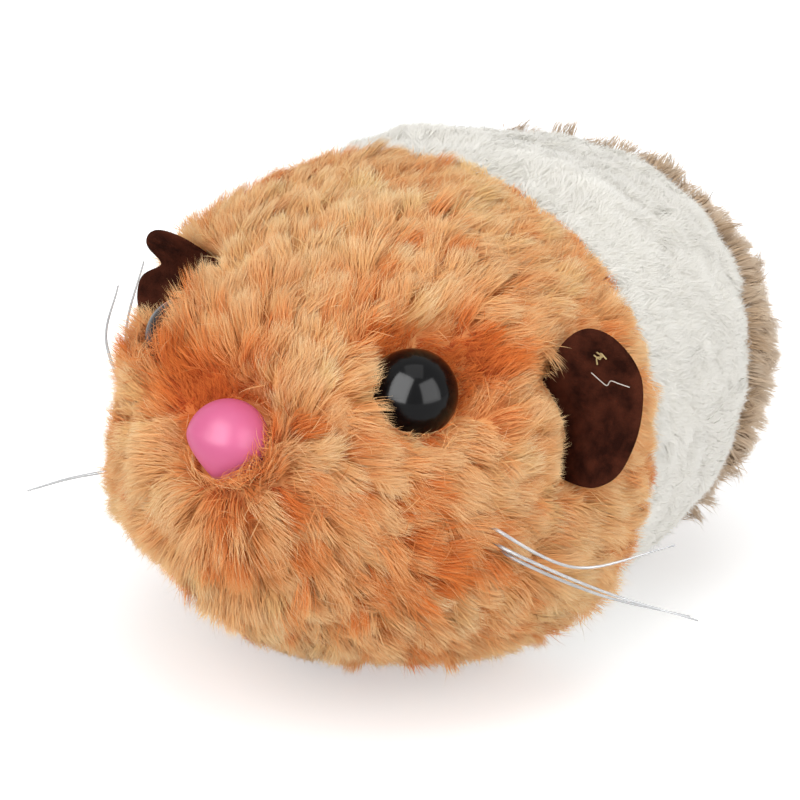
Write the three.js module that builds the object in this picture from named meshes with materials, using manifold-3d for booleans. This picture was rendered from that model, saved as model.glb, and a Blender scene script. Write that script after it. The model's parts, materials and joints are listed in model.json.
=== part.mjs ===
// Vibrating plush cat toy: a stuffed animal with a pull-and-release vibrating unit.
// Millimetres. +Z is up, the nose points to -Y and +X is the toy's own left side.
// The origin lies on the flat of the belly that the toy rests on, midway along the body.
import * as THREE from 'three';
import { mergeVertices } from 'three/addons/utils/BufferGeometryUtils.js';
import Module from 'manifold-3d';

const wasm = await Module();
wasm.setup();

// Clearances that the whole toy shares
const softGap = 0.3;
const runningGap = 0.06;
const overrun = 2;
const weldReach = 0.0002;
const probeStep = 0.05;

// The stuffed body, measured over its fur
const bodyLength = 83;
const bodyWidth = 58.5;
const bodyHeight = 51.3;
const bellyTrim = 1;
const widestY = -8.3;
const middleHeight = 24.9;
const noseTipHeight = 23;
const rearTipHeight = 25.3;
const sectionPower = 2.12;
const frontPowers = { width: 1.7, top: 1.99, belly: 1.8 };
const rearPowers = { width: 3.04, top: 2.52, belly: 2.5 };
const bodyStations = 24;
const bodySpokes = 32;
const innerStations = 14;
const innerSpokes = 22;

// Swells and hollows of the stuffing, alike on both sides: set back from the nose end, at a
// rise round the section, with the reach and the height of each
const swells = {
  cheek: {
    setback: 14, rise: THREE.MathUtils.degToRad(-18), length: 9, turn: THREE.MathUtils.degToRad(24), height: 1.5,
  },
  chin: {
    setback: 9, rise: THREE.MathUtils.degToRad(-62), length: 10, turn: THREE.MathUtils.degToRad(20), height: -2.4,
  },
  brow: {
    setback: 20, rise: THREE.MathUtils.degToRad(54), length: 3.6, turn: THREE.MathUtils.degToRad(14), height: -1.1,
  },
  collar: {
    setback: 51, rise: THREE.MathUtils.degToRad(72), length: 3.4, turn: THREE.MathUtils.degToRad(28), height: 1.8,
  },
  saddle: {
    setback: 63, rise: THREE.MathUtils.degToRad(86), length: 4.5, turn: THREE.MathUtils.degToRad(32), height: -2.6,
  },
  rump: {
    setback: 74, rise: THREE.MathUtils.degToRad(82), length: 5, turn: THREE.MathUtils.degToRad(45), height: 1.8,
  },
};
const swellFadePower = 4;

// Plush: pile over a knitted backing, pressed thinner under the belly
const pileDepth = 4.8;
const backingThickness = 1.7;
const plushDepth = pileDepth + backingThickness;
const bellyDepthShare = 0.55;
const seamTilt = THREE.MathUtils.degToRad(8.4);
const seamPivotHeight = 25.2;
const headSeamY = -1.5;
const rearSeamY = 22;

// Eyes: domed safety eyes with a ridged stem and a push-on washer
const eyeRadius = 4.6;
const eyeRim = 0.7;
const eyeDomeHeight = 4.5;
const eyePlaces = {
  left: { side: 1, setback: 15.1, rise: THREE.MathUtils.degToRad(44) },
  right: { side: -1, setback: 12.7, rise: THREE.MathUtils.degToRad(44) },
};
const eyeBackInset = 0.5;
const domeSteps = 6;

// Nose: a rounded drop on the same kind of stem
const noseRadius = 4.4;
const noseHeight = 6.5;
const noseBackRadius = 3.5;
const noseBellyHeight = 2.3;
const noseSetback = 2.6;
const noseFullness = 1.15;
const noseBackSteps = 3;
const noseNarrowingShare = 0.7;
const noseLoweringShare = 0.4;
const noseNarrowingPower = 1.8;
const noseFacets = 28;

const stemRadius = 1.3;
const stemRidgeRadius = 1.6;
const stemLength = 6.4;
const stemRidgeStart = 2.9;
const stemRidgePitch = 0.9;
const stemRidges = 3;
const stemTipRadius = 0.9;
const washerRadius = 4;
const washerThickness = 0.9;
const washerHubRadius = 2.7;
const washerHubHeight = 0.6;
const washerBore = stemRidgeRadius + softGap;
const washerPlay = 0.9;

// Ears: felt leaves folded along the middle
const feltThickness = 1.1;
const ears = {
  left: {
    side: 1, setback: 29.6, rise: 16, turn: 6, lift: 40, facing: -4, length: 11, width: 15, fold: 2.4,
  },
  right: {
    side: -1, setback: 21.4, rise: 48.5, turn: -6, lift: 6, facing: -8, length: 9.4, width: 10.2, fold: 4,
  },
};
const earWidestShare = 0.56;
const earRootWidthShare = 0.62;
const earFoldPower = 1.4;
const earRings = 4;
const earSpokes = 20;

// Whiskers: nylon strands. Each bend and tip is measured from the root, outwards, back and up.
const whiskerRadius = 0.2;
const whiskerArcSteps = 3;
const whiskerSteps = 10;
const whiskerHoleFacets = 8;
const whiskerRise = 1;
const whiskers = {
  whisker_left_1: { side: 1, setback: 17.1, rise: 2, bend: [11.9, 1.0, -2.9], tip: [21.2, 5.0, 0.9] },
  whisker_left_2: { side: 1, setback: 17.5, rise: -2, bend: [14.4, 1.2, -3.1], tip: [24.1, 4.7, -4.9] },
  whisker_left_3: { side: 1, setback: 18.5, rise: -5, bend: [13.5, 1.5, -3.2], tip: [21.8, 5.5, -4.6] },
  whisker_right_1: { side: -1, setback: 18.0, rise: 5, bend: [7.3, 0.8, 3.8], tip: [11.4, 8.2, 6.8] },
  whisker_right_2: { side: -1, setback: 20.0, rise: 7, bend: [6.2, 2.1, 3.4], tip: [10.3, 10.5, 7.4] },
  whisker_right_3: { side: -1, setback: 22.0, rise: 4, bend: [6.4, 1.8, 2.4], tip: [8.8, 8.8, 3.8] },
  whisker_right_4: { side: -1, setback: 16.5, rise: -16, bend: [8.2, -3.3, -2.8], tip: [14.2, -3.3, -6.1] },
};

// Vibrating unit: gears of one module, on upright axes in one line
const gearModule = 0.45;
const pressureAngle = THREE.MathUtils.degToRad(20);
const drumTeeth = 40;
const idlerWheelTeeth = 30;
const pinionTeeth = 10;
const wheelAddendumShare = 0.6;
const pinionAddendumShare = 1;
const dedendumShare = 1.25;
const toothEase = 0.05;
const centreEase = 0.05;
const flankSteps = 2;
const drumSetback = 25;
const drumY = bodyLength / 2 - drumSetback;
const idlerY = drumY - (gearModule * (drumTeeth + pinionTeeth)) / 2 - centreEase;
const weightY = idlerY - (gearModule * (idlerWheelTeeth + pinionTeeth)) / 2 - centreEase;
const towardsRear = Math.PI / 2;
const towardsNose = -Math.PI / 2;

// Unit case: a tray and a cover held by four screws
const caseBottom = 12;
const caseWall = 1.4;
const caseInnerHeight = 12.6;
const caseSideGap = 0.7;
const caseFloor = caseBottom + caseWall;
const caseCeiling = caseFloor + caseInnerHeight;
const caseTop = caseCeiling + caseWall;
const coverLipHeight = 1.2;
const coverLipGap = 0.25;
const coverLipWall = 0.9;
const lugRadius = 2.3;
const lugStandOff = 1.1;
const lugHeight = 7;
const lugAngle = THREE.MathUtils.degToRad(50);
const screwRadius = 0.8;
const screwGrip = 0.05;
const screwLength = 6.4;
const screwHeadRadius = 1.7;
const screwHeadHeight = 1.1;
const screwSlotWidth = 0.5;
const screwSlotDepth = 0.5;
const screwSlotShare = 0.7;
const outletRadius = 1.9;
const outletBore = 0.9;
const outletStandOff = 0.8;
const caseFacets = 24;
const smallFacets = 16;
const tinyFacets = 10;
const buttonFacets = 20;

// Cord drum with its spring barrel
const flangeRadius = 9.2;
const flangeThickness = 0.8;
const drumLift = 0.5;
const spoolRadius = 7.6;
const spoolHeight = 6;
const drumGearThickness = 2;
const barrelRadius = 6.5;
const barrelFloor = 0.8;
const lidRadius = 7.1;
const lidThickness = 0.8;
const lidGap = 0.06;
const anchorHoleRadius = 0.6;
const drumFacets = 36;
const drumBottom = caseFloor + drumLift;
const spoolBottom = drumBottom + flangeThickness;
const drumGearBottom = spoolBottom + spoolHeight;
const drumTop = drumGearBottom + drumGearThickness;
const lidBottom = drumTop - lidThickness;
const cordHeight = spoolBottom + spoolHeight / 2;

// Arbor and mainspring
const arborRadius = 2;
const arborPivotRadius = 1.2;
const arborFootHeight = 0.3;
const arborSlotWidth = 0.8;
const springThickness = 0.22;
const springTurns = 5;
const springStepsPerTurn = 18;
const springInnerRadius = 2.4;
const springOuterRadius = 6.15;
const springEdgeGap = 0.35;
const springTongue = 1;
const springHookLength = 0.9;

// Idler
const idlerAxleRadius = 0.75;
const idlerLift = 0.3;
const idlerPinionOverlap = 0.2;
const idlerBossRadius = 1.5;
const wheelLevelGap = 0.6;
const idlerWheelBottom = drumTop + wheelLevelGap;
const idlerWheelThickness = 1.4;
const idlerHubRadius = 1.6;
const idlerHubHeight = 0.6;

// Shaker: a half-round weight on a turning shaft
const weightRadius = 6.8;
const weightHeight = 5.9;
const weightLift = 0.8;
const weightHubRadius = 2.3;
const shaftRadius = 0.9;
const weightPinionThickness = 2;
const pivotDepth = 1;
const bossHeight = 0.4;

// Cord eyelet at the tail end
const eyeletBore = 1.1;
const eyeletWall = 0.6;
const eyeletFlangeRadius = 2.8;
const eyeletFlangeThickness = 0.7;
const eyeletTail = 4.6;
const eyeletRoomHeight = 9.6;

const colours = {
  tan_plush: 0xd9995a,
  white_plush: 0xe6e2da,
  stuffing: 0xf4f1e8,
  felt: 0x331612,
  black_plastic: 0x0a0a0c,
  pink_plastic: 0xf08cc0,
  white_plastic: 0xe9e9e4,
  nylon: 0xd8dadc,
  case_plastic: 0xcfd6dc,
  gear_plastic: 0xf0ead8,
  steel: 0xa8abb0,
  brass: 0xb5944a,
};
const metals = new Set(['steel', 'brass']);
const glossy = new Set(['black_plastic', 'pink_plastic', 'nylon']);

const toy = new THREE.Group();

function finish(colour) {
  const roughness = glossy.has(colour) ? 0.15 : 0.85;
  return new THREE.MeshStandardMaterial({
    color: colours[colour],
    roughness: metals.has(colour) ? 0.35 : roughness,
    metalness: metals.has(colour) ? 1 : 0,
  });
}

function addPart(name, shape, colour) {
  const mesh = new THREE.Mesh(geometryOf(shape), finish(colour));
  mesh.name = name;
  toy.add(mesh);
}

// Solids

// Joins equal corners, drops faces without area and turns every face outward.
function sealed(geometry) {
  const bare = geometry.clone();
  bare.deleteAttribute('normal');
  bare.deleteAttribute('uv');
  const merged = mergeVertices(bare, weldReach);
  const source = merged.getIndex().array;
  const place = merged.getAttribute('position');
  const corner = [new THREE.Vector3(), new THREE.Vector3(), new THREE.Vector3()];
  const faces = [];
  let volume = 0;
  for (let i = 0; i < source.length; i += 3) {
    const [a, b, c] = [source[i], source[i + 1], source[i + 2]];
    if (a !== b && b !== c && c !== a) {
      faces.push(a, b, c);
      corner.forEach((point, k) => point.fromBufferAttribute(place, source[i + k]));
      volume += corner[0].dot(corner[1].cross(corner[2]));
    }
  }
  if (volume < 0) faces.reverse();
  return { vertProperties: new Float32Array(place.array), triVerts: new Uint32Array(faces) };
}

function solid(geometry) {
  return new wasm.Manifold(new wasm.Mesh({ numProp: 3, ...sealed(geometry) }));
}

function geometryOf(shape) {
  const mesh = shape.getMesh();
  const geometry = new THREE.BufferGeometry();
  geometry.setAttribute('position', new THREE.BufferAttribute(mesh.vertProperties, 3));
  geometry.setIndex(new THREE.BufferAttribute(mesh.triVerts, 1));
  geometry.computeVertexNormals();
  return geometry;
}

function joined(shapes) {
  return shapes.reduce((sum, shape) => sum.add(shape));
}

function cut(shape, tools) {
  return tools.reduce((rest, tool) => rest.subtract(tool), shape);
}

// An upright cylinder between two heights
function post(radius, bottom, top, x, y, sides = smallFacets) {
  const geometry = new THREE.CylinderGeometry(radius, radius, top - bottom, sides);
  return solid(geometry.rotateX(Math.PI / 2).translate(x, y, (top + bottom) / 2));
}

// A cylinder along Y between two places
function crossPost(radius, front, rear, x, z, sides = smallFacets) {
  const geometry = new THREE.CylinderGeometry(radius, radius, rear - front, sides);
  return solid(geometry.translate(x, (front + rear) / 2, z));
}

function box(width, depth, height, x, y, z) {
  return solid(new THREE.BoxGeometry(width, depth, height).translate(x, y, z));
}

function plate(outline, bottom, top, curveSegments = caseFacets / 4) {
  const settings = { depth: top - bottom, bevelEnabled: false, curveSegments };
  return solid(new THREE.ExtrudeGeometry(outline, settings).translate(0, 0, bottom));
}

// A profile of [radius, height] corners turned about +Z, reshaped if need be and placed by a frame
function turned(corners, sides, frame = new THREE.Matrix4(), reshape = null) {
  const points = corners.map(([radius, height]) => new THREE.Vector2(radius, height));
  const geometry = new THREE.LatheGeometry(points, sides).rotateX(Math.PI / 2);
  if (reshape) {
    const place = geometry.getAttribute('position');
    const corner = new THREE.Vector3();
    for (let i = 0; i < place.count; i += 1) {
      reshape(corner.fromBufferAttribute(place, i));
      place.setXYZ(i, corner.x, corner.y, corner.z);
    }
  }
  return solid(geometry.applyMatrix4(frame));
}

// The body's form

function taper(share, power) {
  return (1 - share ** power) ** (1 / power);
}

function signedPower(value, power) {
  return Math.sign(value) * Math.abs(value) ** power;
}

// The upright cross-section at y, taken in from the fur tips by depth
function section(y, depth) {
  const ahead = y < widestY;
  const reach = (ahead ? bodyLength / 2 + widestY : bodyLength / 2 - widestY) - depth;
  const share = Math.min(Math.abs(y - widestY) / reach, 1);
  const powers = ahead ? frontPowers : rearPowers;
  const tipHeight = ahead ? noseTipHeight : rearTipHeight;
  const bellyDepth = depth * bellyDepthShare;
  return {
    halfWidth: (bodyWidth / 2 - depth) * taper(share, powers.width),
    middle: middleHeight + (tipHeight - middleHeight) * share ** 2,
    up: (bodyHeight - middleHeight - depth) * taper(share, powers.top),
    down: (middleHeight + bellyTrim - bellyDepth) * taper(share, powers.belly),
    floor: bellyDepth,
    swellShare: 1 - share ** swellFadePower,
  };
}

// How far the stuffing swells out, or sinks in, at a place on the form
function swellAt(y, angle) {
  const rise = Math.atan2(Math.sin(angle), Math.abs(Math.cos(angle)));
  const setback = y + bodyLength / 2;
  return Object.values(swells).reduce((sum, swell) => {
    const along = (setback - swell.setback) / swell.length;
    const around = (rise - swell.rise) / swell.turn;
    return sum + swell.height * Math.exp(-(along ** 2) - around ** 2);
  }, 0);
}

// A point on the form: angle 0 is the toy's left side and a quarter turn the back's ridge
function pointOn(y, angle, depth) {
  const { halfWidth, middle, up, down, floor, swellShare } = section(y, depth);
  const across = signedPower(Math.cos(angle), 2 / sectionPower);
  const rise = signedPower(Math.sin(angle), 2 / sectionPower);
  const swell = swellAt(y, angle) * swellShare;
  const x = halfWidth * across + swell * Math.cos(angle);
  const z = middle + rise * (rise > 0 ? up : down) + swell * Math.sin(angle);
  return new THREE.Vector3(x, y, Math.max(z, floor));
}

function normalOn(y, angle) {
  const turn = probeStep / bodyHeight;
  const along = pointOn(y + probeStep, angle, 0).sub(pointOn(y - probeStep, angle, 0));
  const around = pointOn(y, angle + turn, 0).sub(pointOn(y, angle - turn, 0));
  return along.cross(around).normalize();
}

// The closed form at a depth under the fur tips
function bodyForm(depth, stations, spokes) {
  const front = -bodyLength / 2 + depth;
  const rear = bodyLength / 2 - depth;
  const corners = [0, front, noseTipHeight];
  for (let i = 1; i < stations; i += 1) {
    const swing = Math.cos((Math.PI * i) / stations);
    const y = widestY - swing * (swing > 0 ? widestY - front : rear - widestY);
    for (let k = 0; k < spokes; k += 1) {
      corners.push(...pointOn(y, (2 * Math.PI * k) / spokes, depth).toArray());
    }
  }
  corners.push(0, rear, rearTipHeight);
  const faces = [];
  const last = corners.length / 3 - 1;
  for (let k = 0; k < spokes; k += 1) {
    const next = (k + 1) % spokes;
    faces.push(0, 1 + k, 1 + next);
    for (let i = 0; i < stations - 2; i += 1) {
      const row = 1 + i * spokes;
      const after = row + spokes;
      faces.push(row + k, after + k, after + next, row + k, after + next, row + next);
    }
    const end = last - spokes;
    faces.push(last, end + next, end + k);
  }
  const geometry = new THREE.BufferGeometry();
  geometry.setAttribute('position', new THREE.Float32BufferAttribute(corners, 3));
  geometry.setIndex(faces);
  return solid(geometry);
}

// Everything behind a seam plane that leans with the back
function behindSeam(y) {
  const slab = new THREE.BoxGeometry(2 * bodyWidth, bodyLength, 2 * bodyHeight);
  slab.translate(0, bodyLength / 2, 0).rotateX(-seamTilt);
  return solid(slab.translate(0, y, seamPivotHeight));
}

// A frame on the backing, set back from the nose end, whose +Z looks out along the fur
function seatFrame(side, setback, rise) {
  const station = setback - bodyLength / 2;
  const outward = normalOn(station, rise);
  const seat = pointOn(station, rise, 0).addScaledVector(outward, -pileDepth);
  const flip = new THREE.Vector3(side, 1, 1);
  outward.multiply(flip);
  const upward = new THREE.Vector3(0, 0, 1);
  const across = upward.clone().cross(outward).normalize();
  const frame = new THREE.Matrix4().makeBasis(across, outward.clone().cross(across), outward);
  return frame.setPosition(seat.multiply(flip));
}

// Where the underside of the tail end reaches a height, at a depth under the fur
function rearReach(height, depth) {
  let near = widestY;
  let far = bodyLength / 2 - depth;
  while (far - near > probeStep) {
    const y = (near + far) / 2;
    if (pointOn(y, -Math.PI / 2, depth).z < height) near = y;
    else far = y;
  }
  return near;
}

// Eyes and nose

// The ridged stem below the seat, from its tip up to the seat's plane
function stemCorners(grow) {
  const corners = [[0, -stemLength - grow], [stemTipRadius + grow, -stemLength - grow]];
  for (let i = stemRidges - 1; i >= 0; i -= 1) {
    const low = -stemRidgeStart - i * stemRidgePitch;
    corners.push([stemRidgeRadius + grow, low], [stemRadius + grow, low + stemRidgePitch / 2]);
  }
  return corners;
}

function eyeCorners() {
  const corners = stemCorners(0);
  corners.push([stemRadius, 0], [eyeRadius - eyeBackInset, 0], [eyeRadius, eyeRim]);
  for (let i = 1; i <= domeSteps; i += 1) {
    const climb = (i * Math.PI) / (2 * domeSteps);
    corners.push([eyeRadius * Math.cos(climb), eyeRim + eyeDomeHeight * Math.sin(climb)]);
  }
  corners[corners.length - 1][0] = 0;
  return corners;
}

function noseCorners() {
  const corners = stemCorners(0);
  corners.push([stemRadius, 0], [noseBackRadius, 0]);
  const swell = noseRadius - noseBackRadius;
  for (let i = 1; i <= noseBackSteps; i += 1) {
    const climb = (i * Math.PI) / (2 * noseBackSteps);
    const height = noseBellyHeight * (i / noseBackSteps);
    corners.push([noseBackRadius + swell * Math.sin(climb), height]);
  }
  for (let i = 1; i <= domeSteps; i += 1) {
    const climb = (i * Math.PI) / (2 * domeSteps);
    const height = noseBellyHeight + (noseHeight - noseBellyHeight) * Math.sin(climb);
    corners.push([noseRadius * Math.cos(climb) ** (1 / noseFullness), height]);
  }
  corners[corners.length - 1][0] = 0;
  return corners;
}

// Draws the nose in towards its lower edge, as a drop
function drawNoseIn(corner) {
  const low = Math.max(-corner.y / noseRadius, 0) ** noseNarrowingPower;
  const raised = Math.min(Math.max(corner.z / noseBellyHeight, 0), 1);
  corner.x *= 1 - noseNarrowingShare * low * raised;
  corner.z *= 1 - noseLoweringShare * low * raised;
}

function washerCorners() {
  const top = -backingThickness - softGap;
  const under = top - washerThickness;
  return [
    [washerBore, under - washerHubHeight],
    [washerHubRadius, under - washerHubHeight],
    [washerHubRadius, under],
    [washerRadius, under],
    [washerRadius, top],
    [washerBore, top],
    [washerBore, under - washerHubHeight],
  ];
}

// The room that a button, its stem and its washer take in the plush and the stuffing
function buttonRoom(radius, frame) {
  const washerTop = -backingThickness;
  const washerUnder = washerTop - washerThickness - washerHubHeight - washerPlay;
  const corners = [
    [0, -stemLength - softGap],
    [stemRidgeRadius + softGap, -stemLength - softGap],
    [stemRidgeRadius + softGap, washerUnder],
    [washerRadius + softGap, washerUnder],
    [washerRadius + softGap, washerTop],
    [stemRidgeRadius + softGap, washerTop],
    [stemRidgeRadius + softGap, -softGap],
    [radius + softGap, -softGap],
    [radius + softGap, pileDepth + overrun],
    [0, pileDepth + overrun],
  ];
  return turned(corners, buttonFacets, frame);
}

const buttons = Object.entries(eyePlaces).map(([name, { side, setback, rise }]) => ({
  name: `eye_${name}`,
  washer: `eye_washer_${name}`,
  colour: 'black_plastic',
  corners: eyeCorners(),
  sides: buttonFacets,
  reshape: null,
  radius: eyeRadius,
  frame: seatFrame(side, setback, rise),
}));
buttons.push({
  name: 'nose',
  washer: 'nose_washer',
  colour: 'pink_plastic',
  corners: noseCorners(),
  sides: noseFacets,
  reshape: drawNoseIn,
  radius: noseRadius,
  frame: seatFrame(1, noseSetback, Math.PI / 2),
});

function addButtons() {
  for (const button of buttons) {
    const shape = turned(button.corners, button.sides, button.frame, button.reshape);
    addPart(button.name, shape, button.colour);
    addPart(button.washer, turned(washerCorners(), smallFacets, button.frame), 'white_plastic');
  }
}

// Ears

// A frame at the ear's root: +X along the ear, +Y across it, +Z out of its hollow face
function earFrame(ear) {
  const rise = THREE.MathUtils.degToRad(ear.rise);
  const root = new THREE.Vector3().setFromMatrixPosition(seatFrame(1, ear.setback, rise));
  const turn = THREE.MathUtils.degToRad(ear.turn);
  const lift = THREE.MathUtils.degToRad(ear.lift);
  const flat = Math.cos(lift);
  const along = new THREE.Vector3(flat * Math.cos(turn), flat * Math.sin(turn), Math.sin(lift));
  const facing = new THREE.Vector3(0, -1, 0);
  facing.addScaledVector(along, -along.dot(facing)).normalize();
  facing.applyAxisAngle(along, THREE.MathUtils.degToRad(ear.facing));
  const across = facing.clone().cross(along);
  const frame = new THREE.Matrix4().makeBasis(along, across, facing).setPosition(root);
  return frame.premultiply(new THREE.Matrix4().makeScale(ear.side, 1, 1));
}

// Half the leaf's width at a share of its length
function leafHalfWidth(ear, share) {
  const rootHalf = (ear.width / 2) * earRootWidthShare;
  if (share < earWidestShare) {
    const climb = share / earWidestShare;
    return rootHalf + (ear.width / 2 - rootHalf) * Math.sin((climb * Math.PI) / 2);
  }
  return (ear.width / 2) * taper((share - earWidestShare) / (1 - earWidestShare), 2);
}

// The rim of the leaf as [along, across] places, from the root round the tip
function leafRim(ear, grow) {
  const rim = [];
  const half = earSpokes / 2;
  for (let i = 0; i <= half; i += 1) {
    const share = Math.sin((i / half) * (Math.PI / 2));
    rim.push([share * ear.length, leafHalfWidth(ear, share)]);
  }
  const mirrored = rim.slice(0, -1).reverse();
  const outline = [...rim, ...mirrored.map(([along, across]) => [along, -across])];
  const middle = ear.length / 2;
  return outline.map(([along, across]) => {
    const reach = Math.hypot(along - middle, across);
    const scale = (reach + grow) / reach;
    return [middle + (along - middle) * scale, across * scale];
  });
}

// The folded felt leaf: rings of the rim drawn in to the middle, on both faces
function earSolid(ear, grow) {
  const rim = leafRim(ear, grow);
  const middle = ear.length / 2;
  const halfThickness = feltThickness / 2 + grow;
  const lift = (along, across) => ear.fold * (Math.abs(across) / (ear.width / 2)) ** earFoldPower;
  const corners = [];
  const count = rim.length;
  for (const face of [1, -1]) {
    corners.push(middle, 0, lift(middle, 0) + face * halfThickness);
    for (let ring = 1; ring <= earRings; ring += 1) {
      for (const [along, across] of rim) {
        const u = middle + ((along - middle) * ring) / earRings;
        const v = (across * ring) / earRings;
        corners.push(u, v, lift(u, v) + face * halfThickness);
      }
    }
  }
  const faces = [];
  const back = 1 + earRings * count;
  for (let k = 0; k < count; k += 1) {
    const next = (k + 1) % count;
    faces.push(0, 1 + k, 1 + next, back, back + 1 + next, back + 1 + k);
    for (let ring = 0; ring < earRings - 1; ring += 1) {
      const a = 1 + ring * count;
      const b = a + count;
      faces.push(a + k, b + k, b + next, a + k, b + next, a + next);
      faces.push(back + a + k, back + b + next, back + b + k);
      faces.push(back + a + k, back + a + next, back + b + next);
    }
    const edge = 1 + (earRings - 1) * count;
    faces.push(edge + k, back + edge + k, back + edge + next);
    faces.push(edge + k, back + edge + next, edge + next);
  }
  const geometry = new THREE.BufferGeometry();
  geometry.setAttribute('position', new THREE.Float32BufferAttribute(corners, 3));
  geometry.setIndex(faces);
  return solid(geometry.applyMatrix4(earFrame(ear)));
}

// Whiskers

function whiskerRoot(whisker) {
  return seatFrame(whisker.side, whisker.setback, THREE.MathUtils.degToRad(whisker.rise));
}

// The strand's line: straight out through the pile, then over its bend to the tip
function whiskerLine(whisker) {
  const frame = whiskerRoot(whisker);
  const seat = new THREE.Vector3().setFromMatrixPosition(frame);
  const outward = new THREE.Vector3().setFromMatrixColumn(frame, 2);
  const at = (height) => seat.clone().addScaledVector(outward, height);
  const flip = new THREE.Vector3(whisker.side, 1, 1);
  const bend = new THREE.Vector3(...whisker.bend).multiply(flip).add(seat);
  const tip = new THREE.Vector3(...whisker.tip).multiply(flip).add(seat);
  const clear = pileDepth + whiskerRise;
  return new THREE.CatmullRomCurve3([at(softGap), at(clear / 2), at(clear), bend, tip]);
}

function whiskerSolid(whisker) {
  const ring = new THREE.Shape();
  ring.absarc(0, 0, whiskerRadius, 0, 2 * Math.PI, false);
  const settings = {
    steps: whiskerSteps,
    curveSegments: whiskerArcSteps,
    extrudePath: whiskerLine(whisker),
  };
  return solid(new THREE.ExtrudeGeometry(ring, settings));
}

function whiskerHole(whisker) {
  const bore = whiskerRadius + softGap;
  const corners = [[0, 0], [bore, 0], [bore, pileDepth + overrun], [0, pileDepth + overrun]];
  return turned(corners, whiskerHoleFacets, whiskerRoot(whisker));
}

// Case outline: two round ends, the larger round the drum, joined by straight flanks

const drumEndRadius = (gearModule * drumTeeth) / 2 + gearModule * wheelAddendumShare + caseSideGap;
const weightEndRadius = weightRadius + caseSideGap;

function caseOutline(grow) {
  const rearRadius = drumEndRadius + grow;
  const frontRadius = weightEndRadius + grow;
  const lean = Math.asin((frontRadius - rearRadius) / (drumY - weightY));
  const outline = new THREE.Shape();
  outline.absarc(0, drumY, rearRadius, lean, Math.PI - lean, false);
  outline.absarc(0, weightY, frontRadius, Math.PI - lean, 2 * Math.PI + lean, false);
  outline.closePath();
  return outline;
}

function lugPlaces() {
  const places = [];
  const ends = [[drumY, drumEndRadius, lugAngle], [weightY, weightEndRadius, -lugAngle]];
  for (const [y, radius, angle] of ends) {
    const reach = radius + caseWall + lugStandOff;
    for (const side of [1, -1]) {
      places.push([side * reach * Math.cos(angle), y + reach * Math.sin(angle)]);
    }
  }
  return places;
}

const eyeletSeatY = rearReach(cordHeight, pileDepth);
const outletRear = eyeletSeatY - eyeletTail - outletStandOff;

function caseBase() {
  const lugs = lugPlaces().map(([x, y]) => post(lugRadius, caseCeiling - lugHeight, caseCeiling, x, y));
  const nozzle = crossPost(outletRadius, drumY + drumEndRadius, outletRear, 0, cordHeight);
  const shell = joined([plate(caseOutline(caseWall), caseBottom, caseCeiling), ...lugs, nozzle]);
  const hollow = plate(caseOutline(0), caseFloor, caseCeiling + overrun);
  const bossRoot = caseFloor - caseWall / 2;
  const idlerBoss = post(idlerBossRadius, bossRoot, drumGearBottom - idlerLift, 0, idlerY);
  const weightBoss = post(weightHubRadius, bossRoot, caseFloor + bossHeight, 0, weightY);
  const tools = [
    crossPost(outletBore, drumY, outletRear + overrun, 0, cordHeight, tinyFacets),
    post(idlerAxleRadius + runningGap, caseFloor - pivotDepth, caseCeiling, 0, idlerY),
    post(shaftRadius + runningGap, caseFloor - pivotDepth, caseCeiling, 0, weightY),
    post(arborPivotRadius + runningGap, caseFloor - pivotDepth, caseCeiling, 0, drumY),
  ];
  for (const [x, y] of lugPlaces()) {
    const bore = screwRadius + screwGrip;
    tools.push(post(bore, caseCeiling - screwLength, caseCeiling + overrun, x, y, tinyFacets));
  }
  return cut(joined([shell.subtract(hollow), idlerBoss, weightBoss]), tools);
}

function caseCover() {
  const lugs = lugPlaces().map(([x, y]) => post(lugRadius, caseCeiling, caseTop, x, y));
  const top = joined([plate(caseOutline(caseWall), caseCeiling, caseTop), ...lugs]);
  const lipRoot = caseCeiling + caseWall / 2;
  const lipOuter = plate(caseOutline(-coverLipGap), caseCeiling - coverLipHeight, lipRoot);
  const lipHollow = plate(caseOutline(-coverLipGap - coverLipWall), caseBottom, caseCeiling);
  const bosses = [idlerY, weightY].map((y) => {
    return post(idlerHubRadius, caseCeiling - bossHeight, lipRoot, 0, y);
  });
  const pivotTop = caseCeiling - bossHeight + pivotDepth;
  const tools = [
    post(idlerAxleRadius + runningGap, caseBottom, pivotTop, 0, idlerY),
    post(shaftRadius + runningGap, caseBottom, pivotTop, 0, weightY),
    post(arborPivotRadius + runningGap, caseBottom, pivotTop, 0, drumY),
  ];
  for (const [x, y] of lugPlaces()) {
    tools.push(post(screwRadius + softGap, caseBottom, caseTop + overrun, x, y, tinyFacets));
  }
  return cut(joined([top, lipOuter.subtract(lipHollow), ...bosses]), tools);
}

function caseScrew(x, y) {
  const shank = post(screwRadius, caseTop - screwLength, caseTop + screwHeadHeight / 2, x, y, tinyFacets);
  const head = post(screwHeadRadius, caseTop, caseTop + screwHeadHeight, x, y);
  const slotMiddle = caseTop + screwHeadHeight;
  const slotLength = 2 * screwHeadRadius * screwSlotShare;
  const slots = [
    box(slotLength, screwSlotWidth, 2 * screwSlotDepth, x, y, slotMiddle),
    box(screwSlotWidth, slotLength, 2 * screwSlotDepth, x, y, slotMiddle),
  ];
  return cut(head.add(shank), slots);
}

// The room for the case, its screws and its cord in the stuffing
function caseRoom() {
  const lugBottom = caseCeiling - lugHeight - softGap;
  const screwTop = caseTop + screwHeadHeight + softGap;
  const lugs = lugPlaces().map(([x, y]) => post(lugRadius + softGap, lugBottom, screwTop, x, y));
  const body = plate(caseOutline(caseWall + softGap), caseBottom - softGap, caseTop + softGap);
  const neck = crossPost(outletRadius + softGap, drumY, outletRear + softGap, 0, cordHeight);
  return joined([body, ...lugs, neck]);
}

// Gears

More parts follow.
